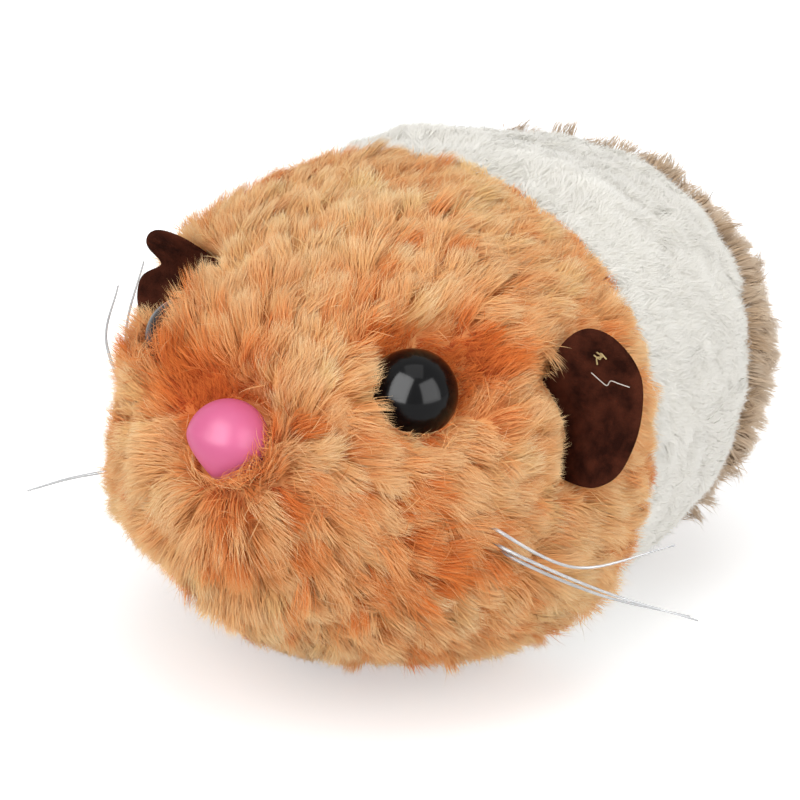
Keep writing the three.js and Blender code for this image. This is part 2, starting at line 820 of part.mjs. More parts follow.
// One involute gear outline. Phase is where the middle of its first tooth points.
function gearOutline(teeth, addendumShare, phase) {
  const pitchRadius = (gearModule * teeth) / 2;
  const baseRadius = pitchRadius * Math.cos(pressureAngle);
  const tipRadius = pitchRadius + gearModule * addendumShare;
  const rootRadius = pitchRadius - gearModule * dedendumShare;
  const involute = (angle) => Math.tan(angle) - angle;
  const halfTooth = Math.PI / (2 * teeth) - toothEase / pitchRadius;
  const halfAt = (radius) => {
    const roll = Math.acos(Math.min(baseRadius / radius, 1));
    return halfTooth + involute(pressureAngle) - involute(roll);
  };
  const flank = [[rootRadius, halfAt(Math.max(rootRadius, baseRadius))]];
  const start = Math.max(baseRadius, rootRadius);
  for (let i = 0; i <= flankSteps; i += 1) {
    const radius = start + ((tipRadius - start) * i) / flankSteps;
    if (radius > rootRadius) flank.push([radius, halfAt(radius)]);
  }
  const outline = new THREE.Shape();
  for (let tooth = 0; tooth < teeth; tooth += 1) {
    const centre = phase + (2 * Math.PI * tooth) / teeth;
    const rising = flank.map(([radius, half]) => [radius, centre - half]);
    const falling = flank.map(([radius, half]) => [radius, centre + half]).reverse();
    [...rising, ...falling].forEach(([radius, angle], i) => {
      const [x, y] = [radius * Math.cos(angle), radius * Math.sin(angle)];
      if (tooth === 0 && i === 0) outline.moveTo(x, y);
      else outline.lineTo(x, y);
    });
  }
  outline.closePath();
  return outline;
}

function gear(teeth, addendumShare, phase, bottom, top, y) {
  const settings = { depth: top - bottom, bevelEnabled: false };
  const geometry = new THREE.ExtrudeGeometry(gearOutline(teeth, addendumShare, phase), settings);
  return solid(geometry.translate(0, y, bottom));
}

// A pinion with a tooth space towards the rear, for the wheel that drives it
function pinionAt(bottom, top, y) {
  const phase = towardsRear + Math.PI / pinionTeeth;
  return gear(pinionTeeth, pinionAddendumShare, phase, bottom, top, y);
}

function cordDrum() {
  const flange = post(flangeRadius, drumBottom, spoolBottom, 0, drumY, drumFacets);
  const spool = post(spoolRadius, drumBottom, drumTop, 0, drumY, drumFacets);
  const rim = gear(drumTeeth, wheelAddendumShare, towardsNose, drumGearBottom, drumTop, drumY);
  const anchorY = drumY + (spoolRadius + flangeRadius) / 2;
  const hookX = barrelRadius + springHookLength / 4;
  const floor = drumBottom + barrelFloor;
  const hookWidth = springThickness + 2 * softGap;
  return cut(joined([flange, spool, rim]), [
    post(barrelRadius, floor, drumTop + overrun, 0, drumY, drumFacets),
    post(lidRadius + lidGap, lidBottom, drumTop + overrun, 0, drumY, drumFacets),
    post(arborRadius + softGap, caseFloor, drumTop, 0, drumY),
    post(anchorHoleRadius, caseFloor, drumGearBottom - overrun, 0, anchorY, tinyFacets),
    box(springHookLength, hookWidth, lidBottom - floor, hookX, drumY, (lidBottom + floor) / 2),
  ]);
}

function barrelLid() {
  const disc = post(lidRadius, lidBottom, drumTop, 0, drumY, drumFacets);
  return disc.subtract(post(arborRadius + softGap, caseFloor, caseTop, 0, drumY));
}

function springArbor() {
  const foot = post(arborRadius, caseFloor, caseCeiling - arborFootHeight, 0, drumY);
  const pivotBottom = caseFloor - pivotDepth + softGap;
  const pivotTop = caseCeiling - bossHeight + pivotDepth - softGap;
  const pivot = post(arborPivotRadius, pivotBottom, pivotTop, 0, drumY);
  const slotBottom = drumBottom + barrelFloor;
  const slotHeight = lidBottom - slotBottom;
  const slotMiddle = slotBottom + slotHeight / 2;
  const slot = box(arborRadius, arborSlotWidth, slotHeight, arborRadius, drumY, slotMiddle);
  return foot.add(pivot).subtract(slot);
}

// The middle line of the wound strip, with a tongue into the arbor and a hook into the barrel
function springPlaces() {
  const steps = springTurns * springStepsPerTurn;
  const line = [[springInnerRadius - springTongue, 0]];
  for (let i = 0; i <= steps; i += 1) {
    const share = i / steps;
    const radius = springInnerRadius + (springOuterRadius - springInnerRadius) * share;
    line.push([radius, 2 * Math.PI * springTurns * share]);
  }
  line.push([springOuterRadius + springHookLength / 2, 2 * Math.PI * springTurns]);
  return line.map(([radius, angle]) => {
    return new THREE.Vector2(radius * Math.cos(angle), radius * Math.sin(angle));
  });
}

// The least clear space between one turn and the next
function leastTurnGap(places) {
  let least = springOuterRadius;
  for (let i = 1; i < places.length - 1; i += 1) {
    for (let k = i + springStepsPerTurn / 2; k < places.length - 1; k += 1) {
      const span = places[k].clone().sub(places[k - 1]);
      const share = places[i].clone().sub(places[k - 1]).dot(span) / span.lengthSq();
      const foot = places[k - 1].clone().addScaledVector(span, Math.min(Math.max(share, 0), 1));
      least = Math.min(least, foot.distanceTo(places[i]));
    }
  }
  return least - springThickness;
}

function mainspring() {
  const low = drumBottom + barrelFloor + springEdgeGap;
  const high = lidBottom - springEdgeGap;
  const corners = [];
  const places = springPlaces();
  console.log('mainspring least gap between turns', leastTurnGap(places).toFixed(2), 'mm');
  places.forEach((place, i) => {
    const before = places[Math.max(i - 1, 0)];
    const after = places[Math.min(i + 1, places.length - 1)];
    const along = after.clone().sub(before).normalize();
    const side = new THREE.Vector2(-along.y, along.x).multiplyScalar(springThickness / 2);
    for (const [sign, z] of [[1, low], [-1, low], [-1, high], [1, high]]) {
      corners.push(place.x + sign * side.x, drumY + place.y + sign * side.y, z);
    }
  });
  const faces = [0, 1, 2, 0, 2, 3];
  for (let i = 0; i < places.length - 1; i += 1) {
    const a = 4 * i;
    for (let k = 0; k < 4; k += 1) {
      const next = (k + 1) % 4;
      faces.push(a + k, a + 4 + k, a + 4 + next, a + k, a + 4 + next, a + next);
    }
  }
  const end = 4 * (places.length - 1);
  faces.push(end, end + 2, end + 1, end, end + 3, end + 2);
  const geometry = new THREE.BufferGeometry();
  geometry.setAttribute('position', new THREE.Float32BufferAttribute(corners, 3));
  geometry.setIndex(faces);
  return solid(geometry);
}

function idlerGear() {
  const pinionBottom = drumGearBottom + idlerPinionOverlap;
  const wheelTop = idlerWheelBottom + idlerWheelThickness;
  const pinion = pinionAt(pinionBottom, idlerWheelBottom, idlerY);
  const wheel = gear(idlerWheelTeeth, wheelAddendumShare, towardsNose, idlerWheelBottom, wheelTop, idlerY);
  const hub = post(idlerHubRadius, pinionBottom - idlerLift, wheelTop + idlerHubHeight, 0, idlerY);
  const bore = post(idlerAxleRadius + runningGap, caseFloor, caseTop, 0, idlerY);
  return joined([pinion, wheel, hub]).subtract(bore);
}

function pivotPin(radius, y) {
  const bottom = caseFloor - pivotDepth + softGap;
  const top = caseCeiling - bossHeight + pivotDepth - softGap;
  return post(radius, bottom, top, 0, y);
}

function weightPinion() {
  const rim = pinionAt(idlerWheelBottom, idlerWheelBottom + weightPinionThickness, weightY);
  return rim.subtract(post(shaftRadius + runningGap, caseFloor, caseTop, 0, weightY));
}

function eccentricWeight() {
  const bottom = caseFloor + weightLift;
  const top = bottom + weightHeight;
  const half = new THREE.Shape();
  half.absarc(0, weightY, weightRadius, Math.PI, 2 * Math.PI, false);
  half.closePath();
  const hub = post(weightHubRadius, bottom, top + weightLift, 0, weightY);
  const bore = post(shaftRadius + runningGap, caseFloor, caseTop, 0, weightY);
  return plate(half, bottom, top, caseFacets).add(hub).subtract(bore);
}

// Cord eyelet at the tail end: a flanged barrel through the backing and a washer inside

function eyeletFrame() {
  return new THREE.Matrix4().makeRotationX(-Math.PI / 2).setPosition(0, eyeletSeatY, cordHeight);
}

function cordEyelet() {
  const barrel = eyeletBore + eyeletWall;
  const corners = [
    [eyeletBore, -eyeletTail],
    [barrel, -eyeletTail],
    [barrel, 0],
    [eyeletFlangeRadius, 0],
    [eyeletFlangeRadius - eyeletFlangeThickness / 2, eyeletFlangeThickness],
    [eyeletBore + eyeletFlangeThickness / 2, eyeletFlangeThickness],
    [eyeletBore, eyeletFlangeThickness / 2],
    [eyeletBore, -eyeletTail],
  ];
  return turned(corners, smallFacets, eyeletFrame());
}

function eyeletWasher() {
  const bore = eyeletBore + eyeletWall + softGap;
  const low = -eyeletTail + eyeletFlangeThickness / 2;
  const high = low + eyeletFlangeThickness;
  const outer = eyeletFlangeRadius;
  const corners = [[bore, low], [outer, low], [outer, high], [bore, high], [bore, low]];
  return turned(corners, smallFacets, eyeletFrame());
}

// The room for the eyelet, its washer and the cord's way from the case
function eyeletRoom() {
  const barrel = eyeletBore + eyeletWall + softGap;
  const rim = eyeletFlangeRadius + softGap;
  const washerLow = -eyeletTail + eyeletFlangeThickness / 2;
  const washerHigh = washerLow + eyeletFlangeThickness + softGap;
  const corners = [
    [0, -eyeletTail - softGap],
    [rim, -eyeletTail - softGap],
    [rim, washerHigh],
    [barrel, washerHigh],
    [barrel, -softGap],
    [rim, -softGap],
    [rim, eyeletRoomHeight],
    [0, eyeletRoomHeight],
  ];
  const channel = crossPost(barrel, outletRear, eyeletSeatY - eyeletTail, 0, cordHeight);
  return turned(corners, smallFacets, eyeletFrame()).add(channel);
}

// Plush panels and stuffing

function addSoftParts() {
  const outer = bodyForm(0, bodyStations, bodySpokes);
  const skin = outer.subtract(bodyForm(plushDepth, innerStations, innerSpokes));
  const fill = bodyForm(plushDepth + softGap, innerStations, innerSpokes);
  const buttonRooms = buttons.map((button) => buttonRoom(button.radius, button.frame));
  const earRooms = Object.values(ears).map((ear) => earSolid(ear, softGap));
  const holes = Object.values(whiskers).map(whiskerHole);
  const eyelet = eyeletRoom();
  const half = softGap / 2;
  const head = skin.subtract(behindSeam(headSeamY - half));
  const middle = skin.intersect(behindSeam(headSeamY + half)).subtract(behindSeam(rearSeamY - half));
  const rear = skin.intersect(behindSeam(rearSeamY + half));
  addPart('head_plush', cut(head, [...buttonRooms, ...earRooms, ...holes]), 'tan_plush');
  addPart('midsection_plush', middle, 'white_plush');
  addPart('rear_plush', rear.subtract(eyelet), 'tan_plush');
  const behind = (y) => box(2 * bodyWidth, bodyLength, 2 * bodyHeight, 0, y + bodyLength / 2, 0);
  const front = fill.subtract(behind(idlerY - softGap));
  const back = fill.intersect(behind(idlerY));
  addPart('stuffing_front', cut(front, [caseRoom(), ...buttonRooms, ...earRooms]), 'stuffing');
  addPart('stuffing_rear', cut(back, [caseRoom(), eyelet]), 'stuffing');
}

addSoftParts();
addButtons();
for (const [side, ear] of Object.entries(ears)) addPart(`ear_${side}`, earSolid(ear, 0), 'felt');
for (const [name, whisker] of Object.entries(whiskers)) addPart(name, whiskerSolid(whisker), 'nylon');
addPart('cord_eyelet', cordEyelet(), 'brass');
addPart('eyelet_washer', eyeletWasher(), 'brass');
addPart('case_base', caseBase(), 'case_plastic');
addPart('case_cover', caseCover(), 'case_plastic');
lugPlaces().forEach(([x, y], i) => addPart(`case_screw_${i + 1}`, caseScrew(x, y), 'steel'));
addPart('spring_arbor', springArbor(), 'steel');
addPart('cord_drum', cordDrum(), 'gear_plastic');
addPart('barrel_lid', barrelLid(), 'gear_plastic');
addPart('mainspring', mainspring(), 'steel');
addPart('idler_axle', pivotPin(idlerAxleRadius, idlerY), 'steel');
addPart('idler_gear', idlerGear(), 'gear_plastic');
addPart('weight_axle', pivotPin(shaftRadius, weightY), 'steel');
addPart('weight_pinion', weightPinion(), 'gear_plastic');
addPart('eccentric_weight', eccentricWeight(), 'brass');

export default toy;
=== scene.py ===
import json
import math

import bmesh
import bpy
import numpy as np
from mathutils import Matrix, Vector, noise


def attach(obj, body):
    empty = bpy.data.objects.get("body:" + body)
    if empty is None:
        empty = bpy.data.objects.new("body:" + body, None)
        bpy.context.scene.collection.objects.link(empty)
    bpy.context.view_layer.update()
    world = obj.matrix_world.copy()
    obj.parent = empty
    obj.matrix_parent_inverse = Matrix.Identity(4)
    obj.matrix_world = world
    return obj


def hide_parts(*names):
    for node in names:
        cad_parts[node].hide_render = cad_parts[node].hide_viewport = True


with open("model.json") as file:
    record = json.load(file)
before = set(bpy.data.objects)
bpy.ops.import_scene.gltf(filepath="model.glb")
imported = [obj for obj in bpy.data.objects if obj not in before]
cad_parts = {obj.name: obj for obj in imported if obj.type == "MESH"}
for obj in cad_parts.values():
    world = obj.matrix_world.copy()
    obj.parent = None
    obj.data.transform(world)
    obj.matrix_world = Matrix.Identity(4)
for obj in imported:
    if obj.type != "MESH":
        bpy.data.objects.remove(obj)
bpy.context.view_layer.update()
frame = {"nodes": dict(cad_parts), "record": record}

MM = 0.001
bpy.context.scene.view_settings.view_transform = "Standard"

# The body's form, as in the CAD model
LENGTH, WIDTH, HEIGHT = 83.0, 58.5, 51.3
BELLY_TRIM = 1.0
WIDEST_Y = -8.3
MIDDLE, NOSE_TIP, REAR_TIP = 24.9, 23.0, 25.3
POWER = 2.12
FRONT_POWERS = (1.7, 1.99, 1.8)
REAR_POWERS = (3.04, 2.52, 2.5)
PILE = 4.8
BACKING = 1.7
BELLY_SHARE = 0.55
SEAM_TILT = math.radians(8.4)
SEAM_PIVOT = 25.2
HEAD_SEAM, REAR_SEAM = -1.5, 22.0
SOFT_GAP = 0.3
HANG, HANG_FROM = 0.42, 27.0
# Swells and hollows: set back from the nose end, rise round the section, reach along and
# round in millimetres and degrees, and height
SWELLS = [(14, -18, 9, 24, 1.5), (9, -62, 10, 20, -2.4), (20, 54, 3.6, 14, -1.1),
          (52, 74, 4.5, 24, 1.3), (64, 90, 7, 16, -1.0), (76, 86, 6, 30, 1.4)]


def taper(share, power):
    return np.clip(1 - np.clip(share, 0, 1) ** power, 0, 1) ** (1 / power)


def form(y, angle, depth=0.0):
    """Points of the body's form, at places along it and angles round it."""
    ahead = y < WIDEST_Y
    reach = np.where(ahead, LENGTH / 2 + WIDEST_Y, LENGTH / 2 - WIDEST_Y) - depth
    share = np.minimum(np.abs(y - WIDEST_Y) / reach, 1)
    wide, top, low = (np.where(ahead, taper(share, f), taper(share, r))
                      for f, r in zip(FRONT_POWERS, REAR_POWERS))
    middle = MIDDLE + (np.where(ahead, NOSE_TIP, REAR_TIP) - MIDDLE) * share ** 2
    floor = depth * BELLY_SHARE
    cos, sin = np.cos(angle), np.sin(angle)
    across = np.sign(cos) * np.abs(cos) ** (2 / POWER)
    rise = np.sign(sin) * np.abs(sin) ** (2 / POWER)
    up, down = (HEIGHT - MIDDLE - depth) * top, (MIDDLE + BELLY_TRIM - floor) * low
    turned_to = np.degrees(np.arctan2(sin, np.abs(cos)))
    swell = sum(height * np.exp(-((y + LENGTH / 2 - setback) / length) ** 2 - ((turned_to - at) / turn) ** 2)
                for setback, at, length, turn, height in SWELLS) * (1 - share ** 4)
    x = (WIDTH / 2 - depth) * wide * across + swell * cos
    z = middle + rise * np.where(rise > 0, up, down) + swell * sin
    return np.stack([x, y + 0 * z, np.maximum(z, floor)], -1)


def unit(v):
    return v / np.maximum(np.linalg.norm(v, axis=-1, keepdims=True), 1e-9)


def dot(a, b):
    return np.sum(a * b, -1, keepdims=True)


def place(swing, angle, depth=0.0):
    """Points of the form by swing, from 0 at the nose end to pi at the tail end."""
    cos = np.cos(swing)
    front, rear = -LENGTH / 2 + depth, LENGTH / 2 - depth
    return form(WIDEST_Y - cos * np.where(cos > 0, WIDEST_Y - front, rear - WIDEST_Y), angle, depth)


def normals(swing, angle, depth=0.0):
    step = 0.004
    swing = np.clip(swing, 0.03, math.pi - 0.03)
    along = place(swing + step, angle, depth) - place(swing - step, angle, depth)
    around = place(swing, angle + step, depth) - place(swing, angle - step, depth)
    n = unit(np.cross(along, around))
    return n * np.sign(dot(n, place(swing, angle, depth) - [0, 0, MIDDLE]))


def behind_seam(points, seam):
    """How far points lie behind a seam that leans with the back. The white pile hangs over the rear one."""
    hang = HANG * np.maximum(points[..., 2] - HANG_FROM, 0) * (seam > 0)
    lean = (points[..., 2] - SEAM_PIVOT) * math.sin(SEAM_TILT)
    return (points[..., 1] - seam) * math.cos(SEAM_TILT) - lean - hang


def seat_frame(side, setback, rise):
    """A frame on the backing, set back from the nose end, with +Z out along the fur."""
    y = np.array([setback - LENGTH / 2])
    rise = math.radians(rise)
    step = 0.001
    along = form(y + 0.05, rise) - form(y - 0.05, rise)
    around = form(y, rise + step) - form(y, rise - step)
    out = unit(np.cross(along, around))[0]
    seat = form(y, rise)[0] - out * PILE
    flip = np.array([side, 1, 1])
    out, seat = Vector(out * flip), Vector(seat * flip)
    across = Vector((0, 0, 1)).cross(out).normalized()
    turned = Matrix((across, out.cross(across), out)).transposed().to_4x4()
    turned.translation = seat
    return turned


def moved(matrix, points):
    world = np.array(matrix)
    return points @ world[:3, :3].T + world[:3, 3]


def into(matrix, points):
    return moved(matrix.inverted(), points)


# Camera

AZIMUTH, ELEVATION, ROLL = math.radians(33.06), math.radians(24.22), math.radians(2.46)
back = Vector((math.sin(AZIMUTH) * math.cos(ELEVATION), -math.cos(AZIMUTH) * math.cos(ELEVATION),
               math.sin(ELEVATION)))
right = Vector((math.cos(AZIMUTH), math.sin(AZIMUTH), 0))
upward = back.cross(right)
cam_x = right * math.cos(ROLL) + upward * math.sin(ROLL)
cam_y = upward * math.cos(ROLL) - right * math.sin(ROLL)
camera = bpy.data.objects.new("camera", bpy.data.cameras.new("camera"))
turned = Matrix((cam_x, cam_y, back)).transposed().to_4x4()
turned.translation = Vector((0, 0, 0.02515)) + back * 0.555
camera.matrix_world = turned
camera.data.sensor_width = 36
camera.data.lens = 232.55
camera.data.shift_x = -0.0354
camera.data.shift_y = -0.0118
camera.data.clip_start, camera.data.clip_end = 0.01, 20
bpy.context.scene.collection.objects.link(camera)
bpy.context.scene.camera = camera

# Lights, sky and floor

# Softboxes, and gleam panels that only glossy surfaces pick up
for name, azimuth, elevation, distance, wide, tall, radiance in (
    ("softbox_front", -8, 30, 1.0, 0.75, 1.1, 1.62),
    ("softbox_side", 80, 26, 1.0, 0.7, 0.8, 1.62),
    ("softbox_top", 40, 82, 1.0, 0.7, 0.7, 1.62),
    ("gleam_front", -6, 28, 0.9, 0.85, 1.4, 11.0),
    ("gleam_side", 82, 14, 0.9, 0.8, 1.3, 5.0),
):
    lamp = bpy.data.lights.new(name, "AREA")
    lamp.shape = "RECTANGLE"
    lamp.size, lamp.size_y = wide, tall
    lamp.energy = radiance * math.pi * wide * tall
    a, e = math.radians(azimuth), math.radians(elevation)
    out = Vector((math.sin(a) * math.cos(e), -math.cos(a) * math.cos(e), math.sin(e)))
    box = bpy.data.objects.new(name, lamp)
    box.location = Vector((0, 0, 0.025)) + out * distance
    box.rotation_euler = out.to_track_quat("Z", "Y").to_euler()
    box.visible_diffuse = box.visible_transmission = not name.startswith("gleam")
    bpy.context.scene.collection.objects.link(box)


def seen_rays(nodes, links):
    """1 for camera, glossy and transmission rays, and 0 for the rays that light things."""
    path = nodes.new("ShaderNodeLightPath")
    flag = path.outputs["Is Camera Ray"]
    for kind in ("Is Glossy Ray", "Is Transmission Ray"):
        either = nodes.new("ShaderNodeMath")
        either.operation = "MAXIMUM"
        links.new(flag, either.inputs[0])
        links.new(path.outputs[kind], either.inputs[1])
        flag = either.outputs[0]
    return flag


AMBIENT = 0.62
world = bpy.data.worlds.new("studio")
bpy.context.scene.world = world
world.use_nodes = True
sky_nodes, sky_links = world.node_tree.nodes, world.node_tree.links
level = sky_nodes.new("ShaderNodeMapRange")
level.inputs["To Min"].default_value = AMBIENT
level.inputs["To Max"].default_value = 1.0
sky_links.new(seen_rays(sky_nodes, sky_links), level.inputs["Value"])
sky_links.new(level.outputs[0], sky_nodes["Background"].inputs["Strength"])
sky_nodes["Background"].inputs["Color"].default_value = (1, 1, 1, 1)

FLOOR_LIFT = 0.42
floor_mesh = bpy.data.meshes.new("floor")
floor_mesh.from_pydata([(-6, -6, 0), (6, -6, 0), (6, 6, 0), (-6, 6, 0)], [], [(0, 1, 2, 3)])
floor = bpy.data.objects.new("floor", floor_mesh)
bpy.context.scene.collection.objects.link(floor)
floor_look = bpy.data.materials.new("floor")
floor_look.use_nodes = True
floor_shader = floor_look.node_tree.nodes["Principled BSDF"]
floor_shader.inputs["Base Color"].default_value = (0.9, 0.9, 0.9, 1)
floor_shader.inputs["Roughness"].default_value = 1
floor_shader.inputs["Specular IOR Level"].default_value = 0
floor_shader.inputs["Emission Color"].default_value = (1, 1, 1, 1)
glow = floor_look.node_tree.nodes.new("ShaderNodeMath")
glow.operation = "MULTIPLY"
glow.inputs[1].default_value = FLOOR_LIFT
floor_look.node_tree.links.new(seen_rays(floor_look.node_tree.nodes, floor_look.node_tree.links), glow.inputs[0])
floor_look.node_tree.links.new(glow.outputs[0], floor_shader.inputs["Emission Strength"])
floor_mesh.materials.append(floor_look)

# Materials


def new_material(name):
    m = bpy.data.materials.new(name)
    m.use_nodes = True
    return m, m.node_tree.nodes, m.node_tree.links, m.node_tree.nodes["Principled BSDF"]


def ramp(nodes, stops, mode="EASE"):
    node = nodes.new("ShaderNodeValToRGB")
    node.color_ramp.interpolation = mode
    elements = node.color_ramp.elements
    while len(elements) < len(stops):
        elements.new(0.5)
    for element, (at, colour) in zip(elements, stops):
        element.position = at
        element.color = (*colour, 1)
    return node


def fur_material(name, deep, pale, roughness, sheen, tint):
    """Colour by the strand's tone, and by root to tip along it."""
    m, nodes, links, shader = new_material(name)
    uv = nodes.new("ShaderNodeUVMap")
    uv.uv_map = "FurUV"
    split = nodes.new("ShaderNodeSeparateXYZ")
    links.new(uv.outputs[0], split.inputs[0])
    low, high = ramp(nodes, deep), ramp(nodes, pale)
    mix = nodes.new("ShaderNodeMix")
    mix.data_type = "RGBA"
    links.new(split.outputs[0], mix.inputs["Factor"])
    for node, socket in ((low, 6), (high, 7)):
        links.new(split.outputs[1], node.inputs[0])
        links.new(node.outputs[0], mix.inputs[socket])
    links.new(mix.outputs[2], shader.inputs["Base Color"])
    shader.inputs["Roughness"].default_value = roughness
    shader.inputs["Specular IOR Level"].default_value = 0.06
    shader.inputs["Sheen Weight"].default_value = sheen
    shader.inputs["Sheen Tint"].default_value = (*tint, 1)
    shader.inputs["Sheen Roughness"].default_value = 0.5
    return m


def grained(name, dark, light, scale, roughness, metallic=0.0, bump=0.2, bump_scale=None,
            specular=0.5, sheen=0.0, depth=0.0004, spread=(0.35, 0.65)):
    """A surface whose colour and relief vary with a fine noise."""
    m, nodes, links, shader = new_material(name)
    coords = nodes.new("ShaderNodeTexCoord")
    grain = nodes.new("ShaderNodeTexNoise")
    grain.inputs["Scale"].default_value = scale
    grain.inputs["Detail"].default_value = 6
    links.new(coords.outputs["Object"], grain.inputs["Vector"])
    tint = ramp(nodes, [(spread[0], dark), (spread[1], light)], "LINEAR")
    links.new(grain.outputs["Fac"], tint.inputs[0])
    links.new(tint.outputs[0], shader.inputs["Base Color"])
    relief = nodes.new("ShaderNodeTexNoise")
    relief.inputs["Scale"].default_value = bump_scale or scale * 6
    relief.inputs["Detail"].default_value = 5
    links.new(coords.outputs["Object"], relief.inputs["Vector"])
    node = nodes.new("ShaderNodeBump")
    node.inputs["Strength"].default_value = bump
    node.inputs["Distance"].default_value = depth
    links.new(relief.outputs["Fac"], node.inputs["Height"])
    links.new(node.outputs[0], shader.inputs["Normal"])
    shader.inputs["Roughness"].default_value = roughness
    shader.inputs["Metallic"].default_value = metallic
    shader.inputs["Specular IOR Level"].default_value = specular
    shader.inputs["Sheen Weight"].default_value = sheen
    return m


TAN_DEEP = [(0.0, (0.50, 0.055, 0.007)), (0.5, (0.80, 0.20, 0.032)), (1.0, (0.90, 0.44, 0.13))]
TAN_PALE = [(0.0, (0.84, 0.36, 0.085)), (0.5, (0.93, 0.63, 0.275)), (1.0, (0.96, 0.78, 0.49))]
# The rear fur's brown: partly its own colour, partly painted shade, as the rear is seen in shade
SHADED_BROWN_DEEP = [(0.0, (0.42, 0.24, 0.12)), (0.5, (0.58, 0.39, 0.23)), (1.0, (0.70, 0.53, 0.37))]
SHADED_BROWN_PALE = [(0.0, (0.60, 0.43, 0.28)), (0.5, (0.76, 0.60, 0.44)), (1.0, (0.87, 0.75, 0.61))]
WHITE_DEEP = [(0.0, (0.97, 0.94, 0.86)), (0.5, (0.98, 0.955, 0.885)), (1.0, (0.985, 0.965, 0.90))]
WHITE_PALE = [(0.0, (0.98, 0.955, 0.885)), (0.5, (0.985, 0.965, 0.905)), (1.0, (0.985, 0.97, 0.92))]

tan_fur = fur_material("tan_fur", TAN_DEEP, TAN_PALE, 0.75, 0.12, (1.0, 0.8, 0.55))
rear_fur = fur_material("rear_fur", SHADED_BROWN_DEEP, SHADED_BROWN_PALE, 0.75, 0.12, (1.0, 0.85, 0.7))
white_fur = fur_material("white_fur", WHITE_DEEP, WHITE_PALE, 0.8, 0.12, (1.0, 0.98, 0.95))
lint = grained("lint", (0.30, 0.19, 0.06), (0.55, 0.42, 0.17), 900, 0.9)
thread = grained("thread", (0.50, 0.44, 0.38), (0.66, 0.60, 0.54), 900, 0.8)
fibre_fill = grained("fibre_fill", (0.72, 0.70, 0.66), (0.90, 0.89, 0.86), 120, 0.95, bump=0.6, sheen=0.3)
eye_black = grained("eye_black", (0.0015, 0.0015, 0.002), (0.003, 0.003, 0.0035), 40, 0.13,
                    bump=0.01, bump_scale=60, specular=0.15)
nose_pink = grained("nose_pink", (0.62, 0.120, 0.255), (0.69, 0.155, 0.31), 60, 0.36,
                    bump=0.02, bump_scale=90, specular=0.17)
felt = grained("felt", (0.022, 0.0055, 0.003), (0.070, 0.018, 0.009), 520, 0.95,
               bump=0.7, bump_scale=2600, specular=0.02, depth=0.0003)
nylon = grained("nylon", (0.55, 0.56, 0.57), (0.68, 0.69, 0.70), 300, 0.18, bump=0.02)
nylon.node_tree.nodes["Principled BSDF"].inputs["Transmission Weight"].default_value = 0.35
slot_looks = {
    "case_plastic": grained("case_plastic", (0.55, 0.60, 0.66), (0.64, 0.69, 0.74), 90, 0.5, bump=0.12),
    "gear_plastic": grained("gear_plastic", (0.80, 0.74, 0.58), (0.88, 0.83, 0.70), 70, 0.4, bump=0.08),
    "washer_plastic": grained("washer_plastic", (0.74, 0.74, 0.71), (0.84, 0.84, 0.81), 120, 0.5, bump=0.1),
    "steel": grained("steel", (0.42, 0.43, 0.45), (0.60, 0.61, 0.63), 400, 0.32, metallic=1, bump=0.08),
    "brass": grained("brass", (0.50, 0.36, 0.13), (0.66, 0.50, 0.22), 200, 0.35, metallic=1, bump=0.08),
}
for subpart in frame["record"]["subparts"]:
    look = slot_looks.get(subpart["material_slot"])
    if look:
        node = frame["nodes"][subpart["node"]]
        node.data.materials.clear()
        node.data.materials.append(look)


def add_piece(name, data, material, slot, nodes):
    """Puts a mesh in the scene as a piece of the toy that stands for CAD nodes."""
    data.materials.clear()
    data.materials.append(material)
    data.polygons.foreach_set("use_smooth", [True] * len(data.polygons))
    piece = bpy.data.objects.new(name, data)
    bpy.context.scene.collection.objects.link(piece)
    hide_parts(*nodes)
    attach(piece, "toy")
    return piece


def closed_mesh(name, points, faces):
    """A mesh from points in millimetres, welded, with its faces outward."""
    data = bpy.data.meshes.new(name)
    data.from_pydata((np.asarray(points) * MM).tolist(), [], faces)
    mesh = bmesh.new()
    mesh.from_mesh(data)
    bmesh.ops.remove_doubles(mesh, verts=mesh.verts[:], dist=1e-7)
    bmesh.ops.recalc_face_normals(mesh, faces=mesh.faces[:])
    mesh.to_mesh(data)
    mesh.free()
    return data


# Buttons' and ears' places, which the pile dips and thins round

EYE_RADIUS, EYE_RIM, EYE_DOME = 4.6, 0.7, 4.5
NOSE_RADIUS, NOSE_BACK, NOSE_BELLY, NOSE_HEIGHT = 4.4, 3.5, 2.3, 6.5
EYES = {"left": (1, 15.1, 44), "right": (-1, 12.7, 44)}
NOSE = (1, 2.6, 90)
EARS = {
    "left": dict(side=1, setback=29.6, rise=16, turn=6, lift=40, facing=-4, length=11.9, width=15, fold=2.4,
                 notch=0.0, skew=0.35),
    "right": dict(side=-1, setback=21.4, rise=48.5, turn=-6, lift=6, facing=-8, length=9.4, width=10.2, fold=4,
                  notch=0.22, skew=0.0),
}
FOLD_POWER = 1.4
eye_frames = {side: seat_frame(*where) for side, where in EYES.items()}
nose_frame = seat_frame(*NOSE)
# Each button's frame, radius and height, with the side where the fur banks up against it,
# how far round that reaches and how much
BUTTONS = [
    (eye_frames["left"], EYE_RADIUS, EYE_RIM + EYE_DOME, (-0.5, -0.87), 0.3, 0.25),
    (eye_frames["right"], EYE_RADIUS, EYE_RIM + EYE_DOME, (0.9, -0.43), 1.5, 0.8),
    (nose_frame, NOSE_RADIUS, NOSE_HEIGHT, (0.6, -0.8), 0.4, 0.6),
]


